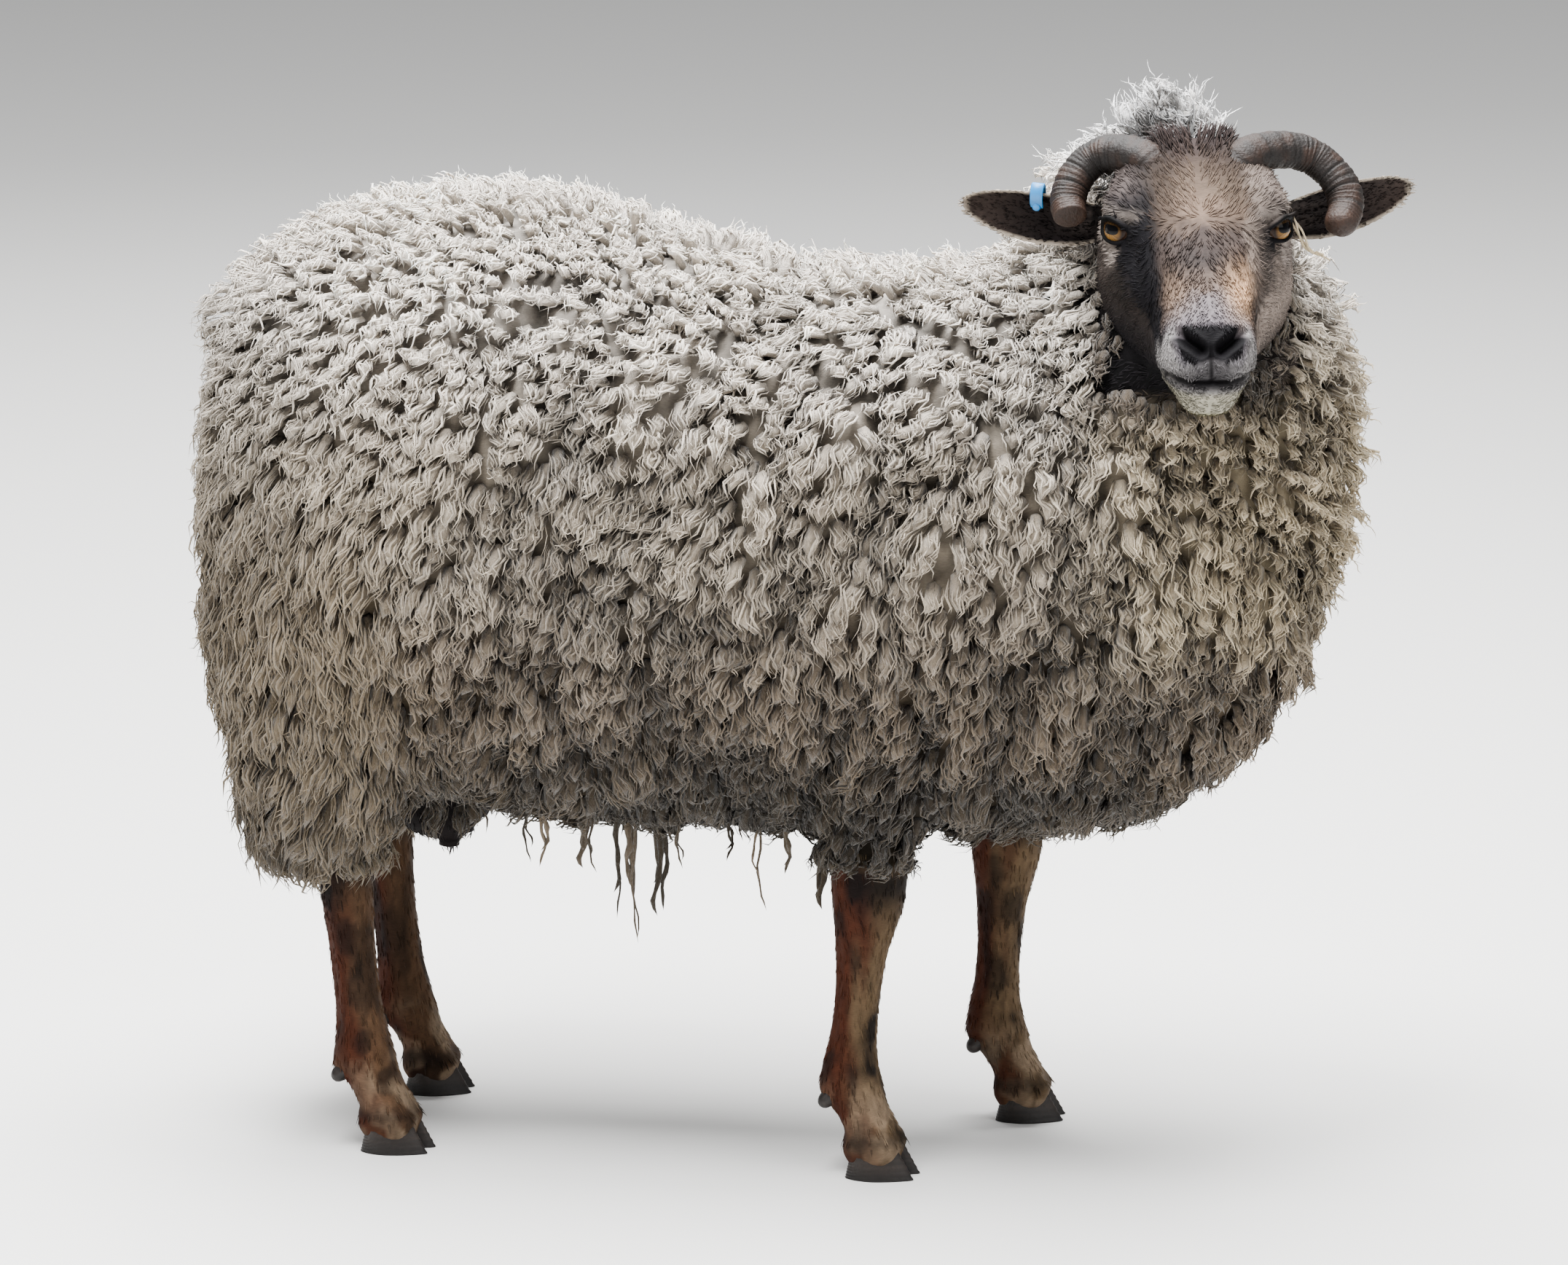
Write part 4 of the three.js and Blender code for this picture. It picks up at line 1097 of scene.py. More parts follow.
def lumps(p):
    """The fleece's lumps: 0 in a fissure between them, 1 on a lump, and where the middle of each lump lies.
    """
    neck = step(-0.02, 0.06, (p[:, 2] - NECK_BASE_Z) * 0.75 + (p[:, 0] - NECK_BASE_X) * 0.66)
    wavering = p + 0.03 * np.stack([noise(p, 0.12, 66 + k) - 0.5 for k in range(3)], 1)
    tall, _, tall_middle = clumps(wavering, (0.046, 0.09, 0.15), 70)
    short, _, short_middle = clumps(wavering, (0.034, 0.034, 0.042), 80)
    rump = step(-0.14, -0.30, p[:, 0])
    mixed = mix(np.minimum(tall, 0.55 + 0.45 * short), short, neck)
    middle = mix(tall_middle * (1, 1, 0.25) + short_middle * 0.35, short_middle, neck[:, None])
    return mix(mixed, 0.62 + 0.38 * mixed, rump), middle


def fleece_roots(skin, outline):
    """Roots of the locks, with the depth of fleece over each."""
    tree = BVHTree.FromObject(outline, bpy.context.evaluated_depsgraph_get())
    weight = np.where((skin.middle[:, 2] < 0.225) | in_ear(animal_to_head(skin.middle)), 0.0, 1.0)
    p, n, uv = skin.scatter(ROOTS_TRIED, weight)
    height = np.zeros(len(p))
    for i in range(len(p)):
        root = Vector(p[i] + ORIGIN)
        near, _, _, away = tree.find_nearest(root)
        along = tree.ray_cast(root, Vector(n[i]), DEEPEST_FLEECE)
        inside = (near - root).dot(Vector(n[i])) > 0
        height[i] = min(along[3], away * 1.5) if along[0] is not None and inside else 0
    head = animal_to_head(p)
    face = (head[:, 0] > 12) & (np.abs(head[:, 1]) < 64) & (head[:, 2] > -118)
    face |= (head[:, 0] > -30) & (np.abs(head[:, 1]) < 80) & (head[:, 2] > -50)
    ridge = (p[:, 2] > 0.77) & (height > 0.002)
    height = np.where(ridge, np.maximum(height, 0.013), height)
    good = (height > 0.007) & ~face
    return p[good], n[good], uv[good], height[good]


class Locks:
    """The fleece's locks as arrays: roots, the line down the middle of each, size and colours."""

    def __init__(self, skin, outline):
        p, n, uv, height = fleece_roots(skin, outline)
        region = wool_regions(p, n)
        form = sum(region[name][:, None] * np.array(WOOL_FORM[name]) for name in region)
        kept = thinned(p, form[:, 1] * LOCK_SPACING)
        p, n, uv, height, form = (a[kept] for a in (p, n, uv, height, form))
        crest = region["crest"][kept]
        lump, middle = lumps(p)
        length, half, wave, curls, gather = form.T
        length = length * (0.75 + 0.5 * rng.random(len(p)))
        hem = mix(HEM_BEFORE, HEM_BEHIND, step(-0.15, -0.25, p[:, 0]))
        length = np.minimum(length, np.maximum(p[:, 2] - hem, SHORTEST_LOCK))
        half = half * (0.92 + 0.35 * rng.random(len(p)))
        middle = middle - n * dots(middle, n)
        tip = wool_lie(p, n) * length[:, None] + middle * gather[:, None]
        lie = unit(tip)
        tall = height * (0.36 + 0.76 * lump ** 1.1 + 0.12 * (rng.random(len(p)) - 0.5))
        tall = mix(tall, height * (0.9 + 0.25 * rng.random(len(p))), crest)
        s = np.linspace(0, 1, 7)
        rise = (1 - (1 - s) ** 2.0) * (1 - 0.14 * s ** 4)
        rise = mix(rise[None], s[None], 0.7 * crest[:, None])
        centres = (p[:, None] - n[:, None] * ROOT_SUNK + n[:, None] * (tall[:, None] * rise)[..., None]
                   + tip[:, None] * (s ** 1.5)[None, :, None])
        side = unit(np.cross(n, lie))
        phase = rng.random(len(p)) * FULL_TURN
        bend = wave[:, None] * 0.8 * np.sin(phase[:, None] + s * curls[:, None] * FULL_TURN) * s
        self.centres = centres + side[:, None] * bend[..., None]
        self.p, self.n, self.uv, self.lie, self.side, self.crest = p, n, uv, lie, side, crest
        self.length, self.half, self.wave, self.curls, self.phase = length, half, wave, curls, phase
        self.colour = wool_colour(p + n * height[:, None], n)
        # Cracks between lumps are painted shade, lighter high up where the wool faces up: painted light from
        # above.
        least = mix(0.28, 0.60, step(0.52, 0.72, p[:, 2]) * step(-0.4, 0.5, n[:, 2]))
        crack_shade = (least + (1 - least) * lump ** 0.8)[:, None]
        self.crack_shade = mix(crack_shade, 0.75 + 0.25 * crack_shade, crest[:, None])
        # The depths and cracks of each lock go browner and darker: partly stained inner wool, partly painted
        # shade.
        stained = WOOL["stain"] * (self.colour.max(1, keepdims=True) + 0.25)
        self.deep_colour = mix(self.colour, stained, 0.50 - 0.32 * lump[:, None])


lock_swell = profile(LOCK_SWELL)


def build_lock_cores(locks, material):
    """The body of each lock."""
    share = np.array([0, 0.2, 0.7, 0.95])
    core = interpolate(locks.centres, np.broadcast_to(share, (len(locks.p), 4)))
    girth = locks.half[:, None] * lock_swell(share) * 0.82 * np.array([0, 0.95, 0.95, 0])
    shade = np.array([0.50, 0.66, 0.92, 1.02])[None] * locks.crack_shade
    coat_pieces("fleece_cores", core, locks.side, locks.n, girth, 0.66, 4, locks.uv, locks.deep_colour, shade,
                material)


def build_lock_strands(name, locks, chosen, material):
    """The strands that wind round each chosen lock."""
    lock = np.repeat(chosen, STRANDS_PER_LOCK)
    count = len(lock)
    u = np.linspace(0, 1, STRAND_STATIONS)[None]
    start = 0.08 + 0.42 * rng.random(count)
    stop = 0.90 + 0.16 * rng.random(count)
    place = start[:, None] + (stop - start)[:, None] * u
    line = locks.centres[lock]
    centre = interpolate(line, place)
    along = unit(line[:, -1] - line[:, -3])
    centre = centre + along[:, None] * (np.maximum(place - 1, 0) * locks.length[lock][:, None])[..., None]
    radius = locks.half[lock][:, None] * lock_swell(np.clip(place, 0, 1))
    order = np.tile(np.arange(STRANDS_PER_LOCK), len(chosen)) + rng.random(count)
    turn = (order / STRANDS_PER_LOCK - 0.5) * math.radians(220)
    turn = turn[:, None] + (locks.phase[lock][:, None] - math.pi) * 0.12 + 0.9 * (place - 0.5)
    lateral, outward = locks.side[lock][:, None], locks.n[lock][:, None]
    cosine, sine = np.cos(turn)[..., None], np.sin(turn)[..., None]
    own = locks.phase[lock] + 2.6 * (rng.random(count) - 0.5)
    swing = (locks.wave[lock] * (0.55 + 0.7 * rng.random(count)))[:, None] * (0.35 + 0.65 * u)
    winding = own[:, None] + place * locks.curls[lock][:, None] * FULL_TURN
    tangent = lateral * cosine - outward * sine
    stray = (rng.random((count, 3)) - 0.5) * (0.006 + 0.016 * rng.random((count, 1)) ** 2)
    centre = (centre + lateral * sine * radius[..., None] + outward * cosine * (radius * 0.68)[..., None]
              + tangent * (swing * np.sin(winding))[..., None]
              + outward * (swing * 0.8 * np.cos(winding))[..., None]
              + stray[:, None] * (u ** 2)[..., None])
    taper = np.interp(u[0], [0, 0.2, 0.5, 0.8, 1], [0, 0.95, 1.15, 0.85, 0])
    broad = (0.0005 + 0.0010 * rng.random(count) ** 2)[:, None] * taper
    fleck = noise(centre[:, -2], 0.011, 77)
    tint = over(locks.colour[lock], locks.deep_colour[lock], 0.55 * step(0.62, 0.30, fleck))
    tint = tint * (0.86 + 0.30 * rng.random((count, 1)))
    shade = mix(0.62, 1.18, u ** 0.8) * locks.crack_shade[lock]
    coat_pieces(name, centre, tangent, locks.n[lock], broad, 0.6, 3, locks.uv[lock], tint, shade, material)


def build_wisps(locks, material):
    """Loose ends that stand out of the locks and soften the outline."""
    airy = np.flatnonzero((locks.n[:, 2] > -0.2) | (locks.p[:, 0] > 0.2))
    lock = rng.choice(airy, WISPS)
    u = np.linspace(0, 1, 5)[None]
    start = interpolate(locks.centres[lock], (0.45 + 0.45 * rng.random(WISPS))[:, None])
    away = unit(0.8 * locks.n[lock] + 0.5 * locks.lie[lock] + 0.9 * (rng.random((WISPS, 3)) - 0.5))
    reach = (0.009 + 0.009 * rng.random(WISPS)) * mix(1.0, 1.7, locks.crest[lock])
    sway = unit(np.cross(away, rng.random((WISPS, 3)) - 0.5))
    second = np.cross(away, sway)
    swirl = rng.random(WISPS)[:, None] * FULL_TURN + u * 7.5
    centre = (start + away[:, None] * (reach[:, None] * u)[..., None]
              + sway[:, None] * (0.0019 * np.sin(swirl) * u)[..., None]
              + second[:, None] * (0.0019 * np.cos(swirl) * u)[..., None])
    coat_pieces("fleece_wisps", centre, sway, locks.n[lock], WISP_WIDTHS, 0.8, 3, locks.uv[lock],
                locks.colour[lock], mix(0.95, 1.15, u), material)


def build_fleece(skin, outline, material):
    locks = Locks(skin, outline)
    build_lock_cores(locks, material)
    shorter = locks.length < SHORT_LOCK
    build_lock_strands("fleece_curls", locks, np.flatnonzero(shorter), material)
    build_lock_strands("fleece_strands", locks, np.flatnonzero(~shorter), material)
    build_wisps(locks, material)


# Strings of matted wool under the belly: place along and across the animal, height of the lower end
BELLY_STRINGS = [(-0.195, -0.08, 0.236), (-0.175, -0.10, 0.238), (-0.150, -0.07, 0.232),
                 (-0.135, -0.10, 0.236), (-0.119, -0.09, 0.195), (-0.114, -0.06, 0.212),
                 (-0.103, -0.08, 0.175), (-0.097, -0.05, 0.205), (-0.081, -0.09, 0.200),
                 (-0.006, -0.08, 0.204), (0.016, -0.06, 0.231), (0.047, -0.09, 0.211),
                 (-0.050, 0.08, 0.225), (0.020, 0.09, 0.228), (-0.140, 0.09, 0.225),
                 (-0.065, -0.09, 0.240), (-0.030, -0.06, 0.240)]
WISP = [(-46, 76, -6), (-40, 88, -27), (-38, 97, -31), (-38, 105, -40)]  # a shred of wool below its left ear


def build_strings(skin, material):
    rows = 14
    u = np.linspace(0, 1, rows)
    paths, colours, widths, roots = [], [], [], []
    for i, (x, y, low) in enumerate(BELLY_STRINGS):
        under = np.abs(skin.middle[:, 2] - 0.29) < 0.035
        away = np.hypot(skin.middle[:, 0] - x, skin.middle[:, 1] - y) + np.where(under, 0, 1)
        nearest = np.argmin(away)
        root = skin.middle[nearest]
        for k in range(2):
            a, b, c, d = rng.random(4)
            end = np.array([x + 0.004 * (a - 0.5), y + 0.004 * (b - 0.5), low + 0.03 * c * k])
            line = root + (0.004 * (a - 0.5), 0.004 * (b - 0.5), 0) + (end - root) * u[:, None]
            line[:, 0] += (0.0030 * np.sin(u * 8 + i * 2.1) + 0.0011 * np.sin(u * 20 + 3 * k)) * u
            line[:, 1] += (0.0030 * np.sin(u * 9 + i * 1.3) + 0.0011 * np.cos(u * 20 + 3 * k)) * u
            paths.append(line)
            widths.append(0.0012 + 0.0014 * d * (i % 3))
            colours.append(mix(WOOL["belly"] * 0.45, WOOL["low"] * 0.7, ((i * 3) % 4) / 4) * (0.8 + 0.4 * c))
            roots.append(skin.uv[nearest].mean(0))
    wisp = head_to_animal(profile([(k / 3, *place) for k, place in enumerate(WISP)])(u))
    nearest = np.argmin(np.linalg.norm(skin.middle - wisp[0], axis=1))
    for k in range(3):
        paths.append(wisp + 0.0022 * columns(np.sin(u * 9 + 2 * k), np.cos(u * 8 + 2 * k), np.sin(u * 7 + k)))
        widths.append(0.0010)
        colours.append(WOOL["chest"] * 0.8)
        roots.append(skin.uv[nearest].mean(0))
    centres = np.array(paths)
    broad = np.array(widths)[:, None] * np.interp(u, [0, 0.1, 0.6, 0.9, 1], [0, 1, 0.9, 0.6, 0])
    knots = 1 + 0.2 * np.sin(u * 23)[None] + 0.2 * (rng.random(broad.shape) - 0.5)
    side = np.tile(np.array([1.0, 0.2, 0.0]), (len(centres), 1))
    coat_pieces("fleece_strings", centres, side, -LEFTWARD, broad * knots, 0.8, 5, np.array(roots),
                np.array(colours), 1.0, material)


def interpolate(table, place):
    """Values of table (rows, stations, columns) at places from 0 to 1 (rows, places)."""
    top = table.shape[1] - 1
    at = np.clip(place, 0, 1) * top
    low = np.minimum(at.astype(int), top - 1)
    part = (at - low)[..., None]
    rows = np.arange(len(table))[:, None]
    return table[rows, low] * (1 - part) + table[rows, low + 1] * part


# ---- Short hair ----------------------------------------------------------------------------------

def build_hairs(name, p, n, uv, lie, length, rise, bend, least, shade, material):
    """Flat tapered hairs: each reaches length along the skin and rise out of it, and is at least twice
    least wide."""
    s = np.linspace(0, 1, 4)[None, :, None]
    centres = (p[:, None] - n[:, None] * 0.0004 + n[:, None] * rise[:, None, None] * s ** bend
               + lie[:, None] * length[:, None, None] * s)
    broad = (least + 0.0005 * rng.random(len(p)))[:, None] * np.array([0, 1, 0.8, 0])
    colour = markings(p, n) * (0.8 + 0.45 * rng.random((len(p), 1)))
    coat_pieces(name, centres, np.cross(n, lie), n, broad, 0.4, 3, uv, colour, shade, material)


def build_face_hair(skin, material):
    head = animal_to_head(skin.middle)
    x, side, z = head[:, 0], np.abs(head[:, 1]), head[:, 2]
    ears = (side > 74) & (x < -36) & (x > -112) & (np.abs(z) < 32) & (side < 190)
    face = (x > -92) & (side < 100) & (z > -125) & (z < 84)
    nostril = line_distance(columns(side, z), NOSTRIL)
    bare = (x > 130) & ((nostril < 6) | ((side < 9) & (z < -30) & (z > -52)))
    bare |= (x > MOUTH_CORNER) & (np.abs(z - lip_line(x)) < 2.5)
    for sign in SIDES.values():
        distance, _, place, _ = lid_measure(head, sign)
        bare |= (place < 1.22) & (distance < 30)
    fine = 1 + 1.5 * step(70, 110, x)
    weight = np.where(bare, 0, np.where(ears, 1.2, np.where(face, fine, 0)))
    p, n, uv = skin.scatter(FACE_HAIRS, weight)
    where = animal_to_head(p)
    x, side, z = where[:, 0], np.abs(where[:, 1]), where[:, 2]
    eared = on_ear(where)
    whorl = step(20, 50, x) * step(48, 34, side)
    back = columns(mix(-1.0, 1.0, whorl), 0.35 * np.sign(where[:, 1]) * step(60, 20, side),
                     mix(0.0, -0.55, step(30, 60, side)) - 0.3 * whorl)
    outward = columns(0 * x - 0.3, np.sign(where[:, 1]), 0 * x)
    lie = np.where(eared[:, None], outward, back) @ HEAD_TURN.T
    lie = along_skin(unit(lie + 0.5 * (rng.random(lie.shape) - 0.5)), n)
    tuft = step(-24, -44, x) * step(34, 22, side) * step(30, 44, z)
    length = mix(0.0105, 0.0042, step(60, 120, x)) * mix(1, 1.7, step(-40, -80, x)) * mix(1, 1.5, tuft)
    length = length * (0.7 + 0.6 * rng.random(len(p)))
    length = np.where(eared, 0.0045 + 0.003 * rng.random(len(p)), length)
    rise = (mix(0.0012, 0.004, step(-50, -80, x)) + 0.007 * tuft) * (0.6 + 0.8 * rng.random(len(p)))
    rise = np.where(eared, 0.0009, rise)
    shade = (0.8, 0.95, 1.08, 1.15)
    build_hairs("face_hair", p, n, uv, lie, length, rise, 0.8, 0.0005, shade, material)


def build_leg_hair(skin, material):
    weight = np.where((skin.middle[:, 2] < 0.27) & (skin.middle[:, 2] > 0.028), 1.0, 0.0)
    p, n, uv = skin.scatter(LEG_HAIRS, weight)
    lie = along_skin(np.array([0.1, 0, -1.0]) + 0.35 * (rng.random(p.shape) - 0.5), n)
    length = 0.009 * (0.7 + 0.6 * rng.random(len(p)))
    rise = 0.0012 * (0.5 + rng.random(len(p)))
    shade = (0.85, 0.95, 1.05, 1.1)
    build_hairs("leg_hair", p, n, uv, lie, length, rise, 1, 0.0006, shade, material)


# ---- Eyes, horns, hooves, tag --------------------------------------------------------------------

def build_eye(which, side, material):
    centre, look, fore, up = eye_axes(side)
    polar = np.concatenate([np.linspace(0.004, 0.8, 70), np.linspace(0.82, math.pi - 0.004, 50)])
    around = turns(96)
    radius = EYE_RADIUS - 0.25 + 0.9 * bell(polar / 0.5)
    rings = (centre + (radius * np.cos(polar))[:, None, None] * look
             + ((radius * np.sin(polar))[:, None] * np.cos(around))[..., None] * fore
             + ((radius * np.sin(polar))[:, None] * np.sin(around))[..., None] * up)
    points, faces = closed_tube(head_to_animal(rings))
    away = animal_to_head(points) - centre
    across, tall = away @ fore, away @ up
    spread = np.hypot(across, tall)
    front = away @ look > 0
    angle = np.arctan2(tall, across)
    ray = 0.5 + 0.5 * np.sin(angle * 61 + 3 * np.sin(angle * 17))
    amber = over(HARD["iris_edge"], HARD["iris"], 0.2 + 0.75 * ray * step(10, 4, spread))
    colour = over(amber, HARD["iris_rim"], step(7.6, 9.8, spread))
    pupil = (np.abs(across / 7.0) ** 3 + np.abs((tall - 1.8) / 3.7) ** 2.4)
    colour = over(colour, HARD["pupil"], step(1.25, 0.9, pupil))
    white = over(HARD["eye_corner"], HARD["eye_white"], step(11, 15, spread))
    colour = over(colour, white, step(9.8, 10.8, spread))
    # The upper part of the eye is darkened: painted shade from the upper lid.
    colour = colour * mix(1.0, 0.22, step(0.5, 5.5, tall))[:, None]
    colour = np.where(front[:, None], colour, HARD["eye_white"])
    piece = make_piece("eyeball_" + which, points, faces, colour)
    return dress(piece, material, ["eye_" + which])


def build_horn(which, side, material):
    rows = np.array(HORN_PATH[which], float) * (1, side, 1)
    path = profile([(i / (len(rows) - 1), *row) for i, row in enumerate(rows)])
    count, sides = 170, 30
    blunt = 0.25 if side < 0 else 0.8  # the right horn's tip has been cut off flat
    t = np.concatenate([np.linspace(0, 1, count), np.full(7, 1.0)])
    rounding = np.concatenate([np.zeros(count), np.sin(np.linspace(0.2, 1.5, 7))])
    centre = path(t)
    along = unit(path(np.minimum(t + 0.01, 1)) - path(np.minimum(t + 0.01, 1) - 0.02))
    flat = unit(np.cross(along, [0, 0, 1]))
    up = unit(np.cross(flat, along))
    fine = 0.6 * np.sin(t * 190 + 5 * np.sin(t * 13)) + 0.4 * np.sin(t * 317 + 3 * np.sin(t * 29))
    fine = fine * (0.7 + 0.3 * t)
    yearly = sum(bell((t - at) / 0.012) for at in (0.1, 0.2, 0.33, 0.45, 0.6, 0.72, 0.86))
    grown = 1.04 + 0.040 * fine * step(-0.5, 0.4, t) - 0.045 * yearly
    radius = mix(HORN_BASE, HORN_TIP, t ** 1.6) * grown * np.sqrt(1 - rounding ** 2)
    centre = centre + along * (rounding * HORN_TIP * blunt)[:, None]
    angle = turns(sides)
    keel = 1 + 0.03 * np.cos(2 * angle) + 0.018 * np.sin(angle * 5 + t[:, None] * 4)
    rings = (centre[:, None] + (radius[:, None] * np.cos(angle) * keel)[..., None] * flat[:, None]
             + (radius[:, None] * 0.95 * np.sin(angle) * keel)[..., None] * up[:, None])
    points, faces = closed_tube(head_to_animal(rings))
    head = animal_to_head(points)
    groove, place = (np.repeat(a, sides) for a in (0.5 * (1 - fine) * 0.5 + yearly, t))
    groove, place = (np.concatenate([a, a[:1], a[-1:]]) for a in (groove, place))
    worn = step(0.35, 0.75, noise(head, 8, 90))
    colour = over(HARD["horn_dark"], HARD["horn"], worn)
    colour = over(colour, HARD["horn_base"], 0.4 * step(0.22, 0.0, place))
    colour = over(colour, HARD["horn_tip"], 0.6 * step(0.72, 1, place))
    # Darker in the grooves between the growth rings: painted shade.
    colour = over(colour, HARD["groove"], 0.75 * np.clip(groove, 0, 1))
    colour = colour * (0.72 + 0.56 * noise(head, 1.6, 91))[:, None]
    piece = make_piece("horn_sheath_" + which, points, faces, colour)
    return dress(piece, material, ["horn_" + which])


def foot_at(leg):
    height, offset = leg["profile"][-1][:2]
    return swung(height, offset, leg["swing"])


def build_tag(material):
    """A soft strap round the upper edge of its right ear: a C open below the edge, and its stud."""
    side = -1
    at = np.array([0.50])
    place, along, wide, front = ear_frame(side, at)
    edge = place[0] + wide * (ear_half_width(at[0]) - 3.0) + front * EAR_CUP * 0.5
    turn = np.linspace(math.radians(-62), math.radians(242), 44)
    outer, inner = 9.2, 7.0
    half = TAG_WIDTH / 2
    bevel = 0.5
    section = [(outer - bevel, -half), (outer, -half + bevel), (outer, half - bevel), (outer - bevel, half),
               (inner + bevel, half), (inner, half - bevel), (inner, -half + bevel), (inner + bevel, -half)]
    rings = np.array([[edge + radius * 0.72 * math.cos(a) * front + radius * 1.12 * math.sin(a) * wide
                       + lift * along for radius, lift in section] for a in turn])
    strap, strap_faces = closed_tube(head_to_animal(rings))
    depth = np.linspace(-8.5, 8.5, 12)
    pin_radius = np.array([2.6, 3.4, 3.4, 1.6, 1.4, 1.4, 1.4, 1.4, 1.6, 3.4, 3.4, 2.6])
    pin_at = edge - wide * 7.5
    pin_line = pin_at + depth[:, None] * front * 0.75
    pin = ring_points(pin_line, along, wide, pin_radius, pin_radius, pin_radius, 20)
    stud, stud_faces = closed_tube(head_to_animal(pin))
    points = np.concatenate([strap, stud])
    faces = strap_faces + [group + len(strap) for group in stud_faces]
    quads = [group for group in faces if group.shape[1] == 4]
    triangles = [group for group in faces if group.shape[1] == 3]
    colour = HARD["tag"] * (0.85 + 0.3 * noise(points, 0.002, 97))[:, None]
    piece = make_piece("tag_strap", points, [np.concatenate(quads), np.concatenate(triangles)], colour)
    return dress(piece, material, ["ear_tag"])


def build_claw(name, side, leg, material):
    sides = 40
    share = np.concatenate([[0, 0.012, 0.04], np.linspace(0.08, 0.94, 22), [0.985, 1.0]])
    shrink = np.concatenate([[0.96, 0.99, 1.0], np.ones(22), [0.93, 0.8]])
    angle = turns(sides)
    ahead = np.cos(angle)
    taper = (0.955 - 0.155 * share)[:, None] * shrink[:, None]
    growth = (1 + 0.012 * np.sin(share * 46))[:, None]
    reach = np.where(ahead > 0, CLAW_LENGTH - CLAW_HEEL, CLAW_HEEL)
    narrow = np.where(ahead > 0, 1 - 0.42 * ahead ** 2, 1)
    slope = mix(0.0, 1.0, step(-0.9, 0.4, ahead))
    x = foot_at(leg) - (CLAW_LENGTH * 0.24 * share)[:, None] * slope + ahead * reach * taper * growth
    inner = side * CLAW_APART - side * np.maximum(0, ahead) * CLAW_WIDTH * 0.14
    y = inner + np.sin(angle) * (CLAW_WIDTH / 2) * narrow * taper * growth
    z = share[:, None] * CLAW_HEIGHT * (0.74 + 0.26 * np.clip(ahead * 1.6, -1, 1))
    rings = columns(x, y, z)
    points, faces = closed_tube(leg_to_animal(rings, leg))
    tall = points[:, 2] / MM
    line = noise(points, (0.03, 0.03, 0.0018), 95)
    colour = over(HARD["hoof_dark"], HARD["hoof"], 0.6 * line * step(2, 14, tall))
    piece = make_piece(name + "_horn", points, faces, colour)
    return dress(piece, material, [name])


def build_dewclaw(name, side, leg, material):
    row = next(row for row in leg["profile"] if row[0] == FETLOCK)
    out = unit(np.array([-0.7, side * 0.25, -0.7]))
    behind = swung(row[0], row[1], leg["swing"]) - row[2] * 0.72
    root = np.array([behind, side * DEWCLAW_APART, DEWCLAW_HEIGHT])
    share = np.concatenate([np.linspace(-0.6, 0.05, 8), [0.2, 0.35, 0.46, 0.53, 0.56]])
    width = np.concatenate([np.linspace(1.15, 1.1, 8), [1.0, 0.84, 0.62, 0.36, 0.15]])
    across = unit(np.cross(out, [0, 1, 0]))
    centres = root + share[:, None] * DEWCLAW_LENGTH * out
    radius = DEWCLAW_RADIUS * width
    rings = ring_points(centres, LEFTWARD, across, radius, radius * 0.8, radius * 0.8, 20)
    points, faces = closed_tube(leg_to_animal(rings, leg))
    colour = over(HARD["dewclaw_dark"], HARD["dewclaw"], noise(points, 0.004, 96))
    piece = make_piece(name + "_horn", points, faces, colour)
    return dress(piece, material, [name])


# ---- Putting it together -------------------------------------------------------------------------

def build_skin(material):
    outline = fleece_outline()
    skin = body_form(outline)
    forms = [head_form()] + [ear_form(side) for side in SIDES.values()]
    forms += [leg_form(leg) for leg in LEGS.values()] + [udder_form(side) for side in SIDES.values()]
    unite(skin, forms)
    unwrap(skin)
    mesh = skin.data
    mesh.polygons.foreach_set("use_smooth", np.full(len(mesh.polygons), True))
    for name in [a.name for a in mesh.color_attributes]:
        mesh.color_attributes.remove(mesh.color_attributes[name])
    p, n = mesh_points(mesh), mesh_normals(mesh)
    tree = BVHTree.FromObject(outline, bpy.context.evaluated_depsgraph_get())
    cover = np.array([tree.find_nearest(Vector(point))[3] for point in p + ORIGIN])
    lump, _ = lumps(p)
    deep = mix(0.10, 0.40, lump) * (0.5 + noise(p, 0.009, 56))
    shadow = mix(1.0, deep, step(0.004, 0.009, cover) * step(0.235, 0.255, p[:, 2]))
    shadow = np.where(on_ear(animal_to_head(p)), 1.0, shadow)
    set_colours(mesh, np.clip(markings(p, n) * shadow[:, None], 0, 1))
    dress(skin, material, FLESH)
    return skin, outline


FLOOR_REACH, FLOOR_COLOUR = 30, (0.74, 0.735, 0.72, 1)
SKY_COLOUR, SKY_STRENGTH = (0.92, 0.93, 0.95, 1), 0.42
LIT_PLACE = (0, 0, 0.45)
LIGHTS = [("key", (-0.7, -1.7, 4.8), 2.0, 640), ("fill", (3.2, -2.2, 2.2), 2.5, 70),
          ("rim", (-1.5, 3.2, 3.0), 2.5, 100), ("top", (0.0, 0.5, 3.4), 2.2, 460)]  # place, size, watts


def build_stage():
    floor_mesh = bpy.data.meshes.new("floor")
    corners = [(FLOOR_REACH * x, FLOOR_REACH * y, 0) for x, y in ((-1, -1), (1, -1), (1, 1), (-1, 1))]
    floor_mesh.from_pydata(corners, [], [(0, 1, 2, 3)])
    floor = add_object("floor", floor_mesh)
    floor.data.materials.append(plain_material("floor", Roughness=0.9, Base_Color=FLOOR_COLOUR)[0])
    world = bpy.data.worlds.new("studio")
    world.use_nodes = True
    sky = world.node_tree.nodes["Background"]
    sky.inputs["Color"].default_value = SKY_COLOUR
    sky.inputs["Strength"].default_value = SKY_STRENGTH
    bpy.context.scene.world = world
    for name, place, size, power in LIGHTS:
        light = bpy.data.lights.new(name, "AREA")
        light.size = size
        light.energy = power
        lamp = add_object(name, light)
        lamp.location = place
        lamp.rotation_euler = (Vector(LIT_PLACE) - Vector(place)).to_track_quat("-Z", "Y").to_euler()


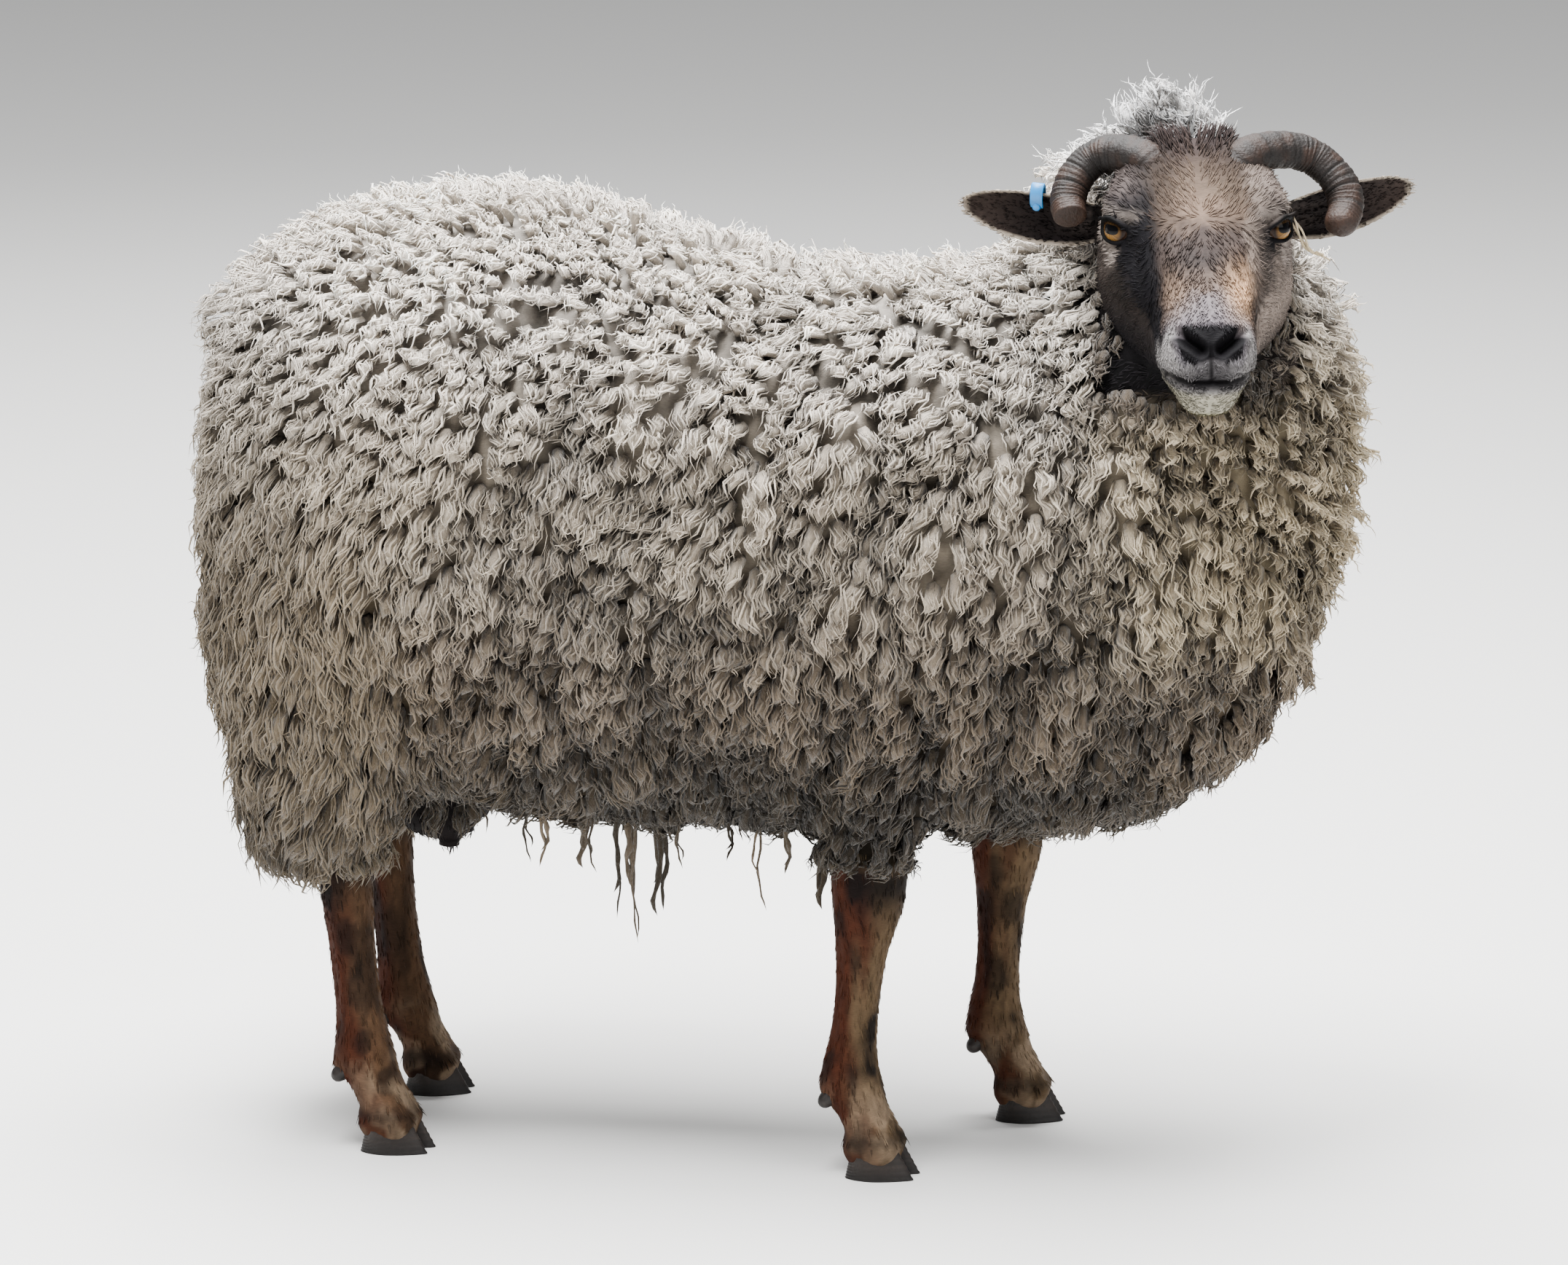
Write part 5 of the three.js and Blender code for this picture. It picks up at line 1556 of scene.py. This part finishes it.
def build_camera():
    """A long lens, ahead of the animal's right side and a little above it."""
    azimuth, elevation, distance = math.radians(11), math.radians(11.5), 6.5
    frame_width, pixels_per_metre, target_height = 2152, 1720, 0.4153
    toward = np.array([math.sin(azimuth) * math.cos(elevation), -math.cos(azimuth) * math.cos(elevation),
                       math.sin(elevation)])
    target = np.array([0, 0, target_height]) + ORIGIN
    data = bpy.data.cameras.new("camera")
    data.sensor_width = 36
    data.lens = 36 * pixels_per_metre * distance / frame_width
    data.clip_end = 200
    camera = add_object("camera", data)
    camera.location = Vector(target + toward * distance)
    camera.rotation_euler = (-Vector(toward)).to_track_quat("-Z", "Y").to_euler()
    bpy.context.scene.camera = camera


def build_all():
    wool = marked_material("wool", 0.95, (330, 5, 1.6), (0.66, 1.34), (1.0, 0.002), ((0, 0, 0), (1, 1, 0.5)),
                           Sheen_Weight=0.2, Sheen_Roughness=0.5, Specular_IOR_Level=0.25)
    hair_lie = ((HEAD_ROLL, 0, -HEAD_YAW), (0.3, 1, 1))
    hair = marked_material("short_hair", 0.75, (900, 3), (0.7, 1.28), (0.7, 0.0006), hair_lie,
                           Specular_IOR_Level=0.08)
    eye = marked_material("eye", 0.07, (300, 4), (0.95, 1.05), Specular_IOR_Level=0.1)
    horn = marked_material("horn", 0.62, (420, 4), (0.55, 1.35), (0.6, 0.0016), Specular_IOR_Level=0.3)
    hoof = marked_material("hoof", 0.5, (300, 4), (0.6, 1.3), (0.6, 0.0008), Specular_IOR_Level=0.3)
    plastic = marked_material("tag_plastic", 0.38, (900, 4), (0.94, 1.05), (0.6, 0.0002))
    skin, outline = build_skin(hair)
    surface = Skin(skin.data)
    build_fleece(surface, outline, wool)
    build_strings(surface, wool)
    bpy.data.objects.remove(outline)
    build_face_hair(surface, hair)
    build_leg_hair(surface, hair)
    for which, side in SIDES.items():
        build_eye(which, side, eye)
        build_horn(which, side, horn)
    build_tag(plastic)
    for name, leg in LEGS.items():
        for which, side in SIDES.items():
            build_claw(f"{name}_claw_{which}", side, leg, hoof)
            build_dewclaw(f"{name}_dewclaw_{which}", side, leg, hoof)


build_camera()
build_stage()
build_all()
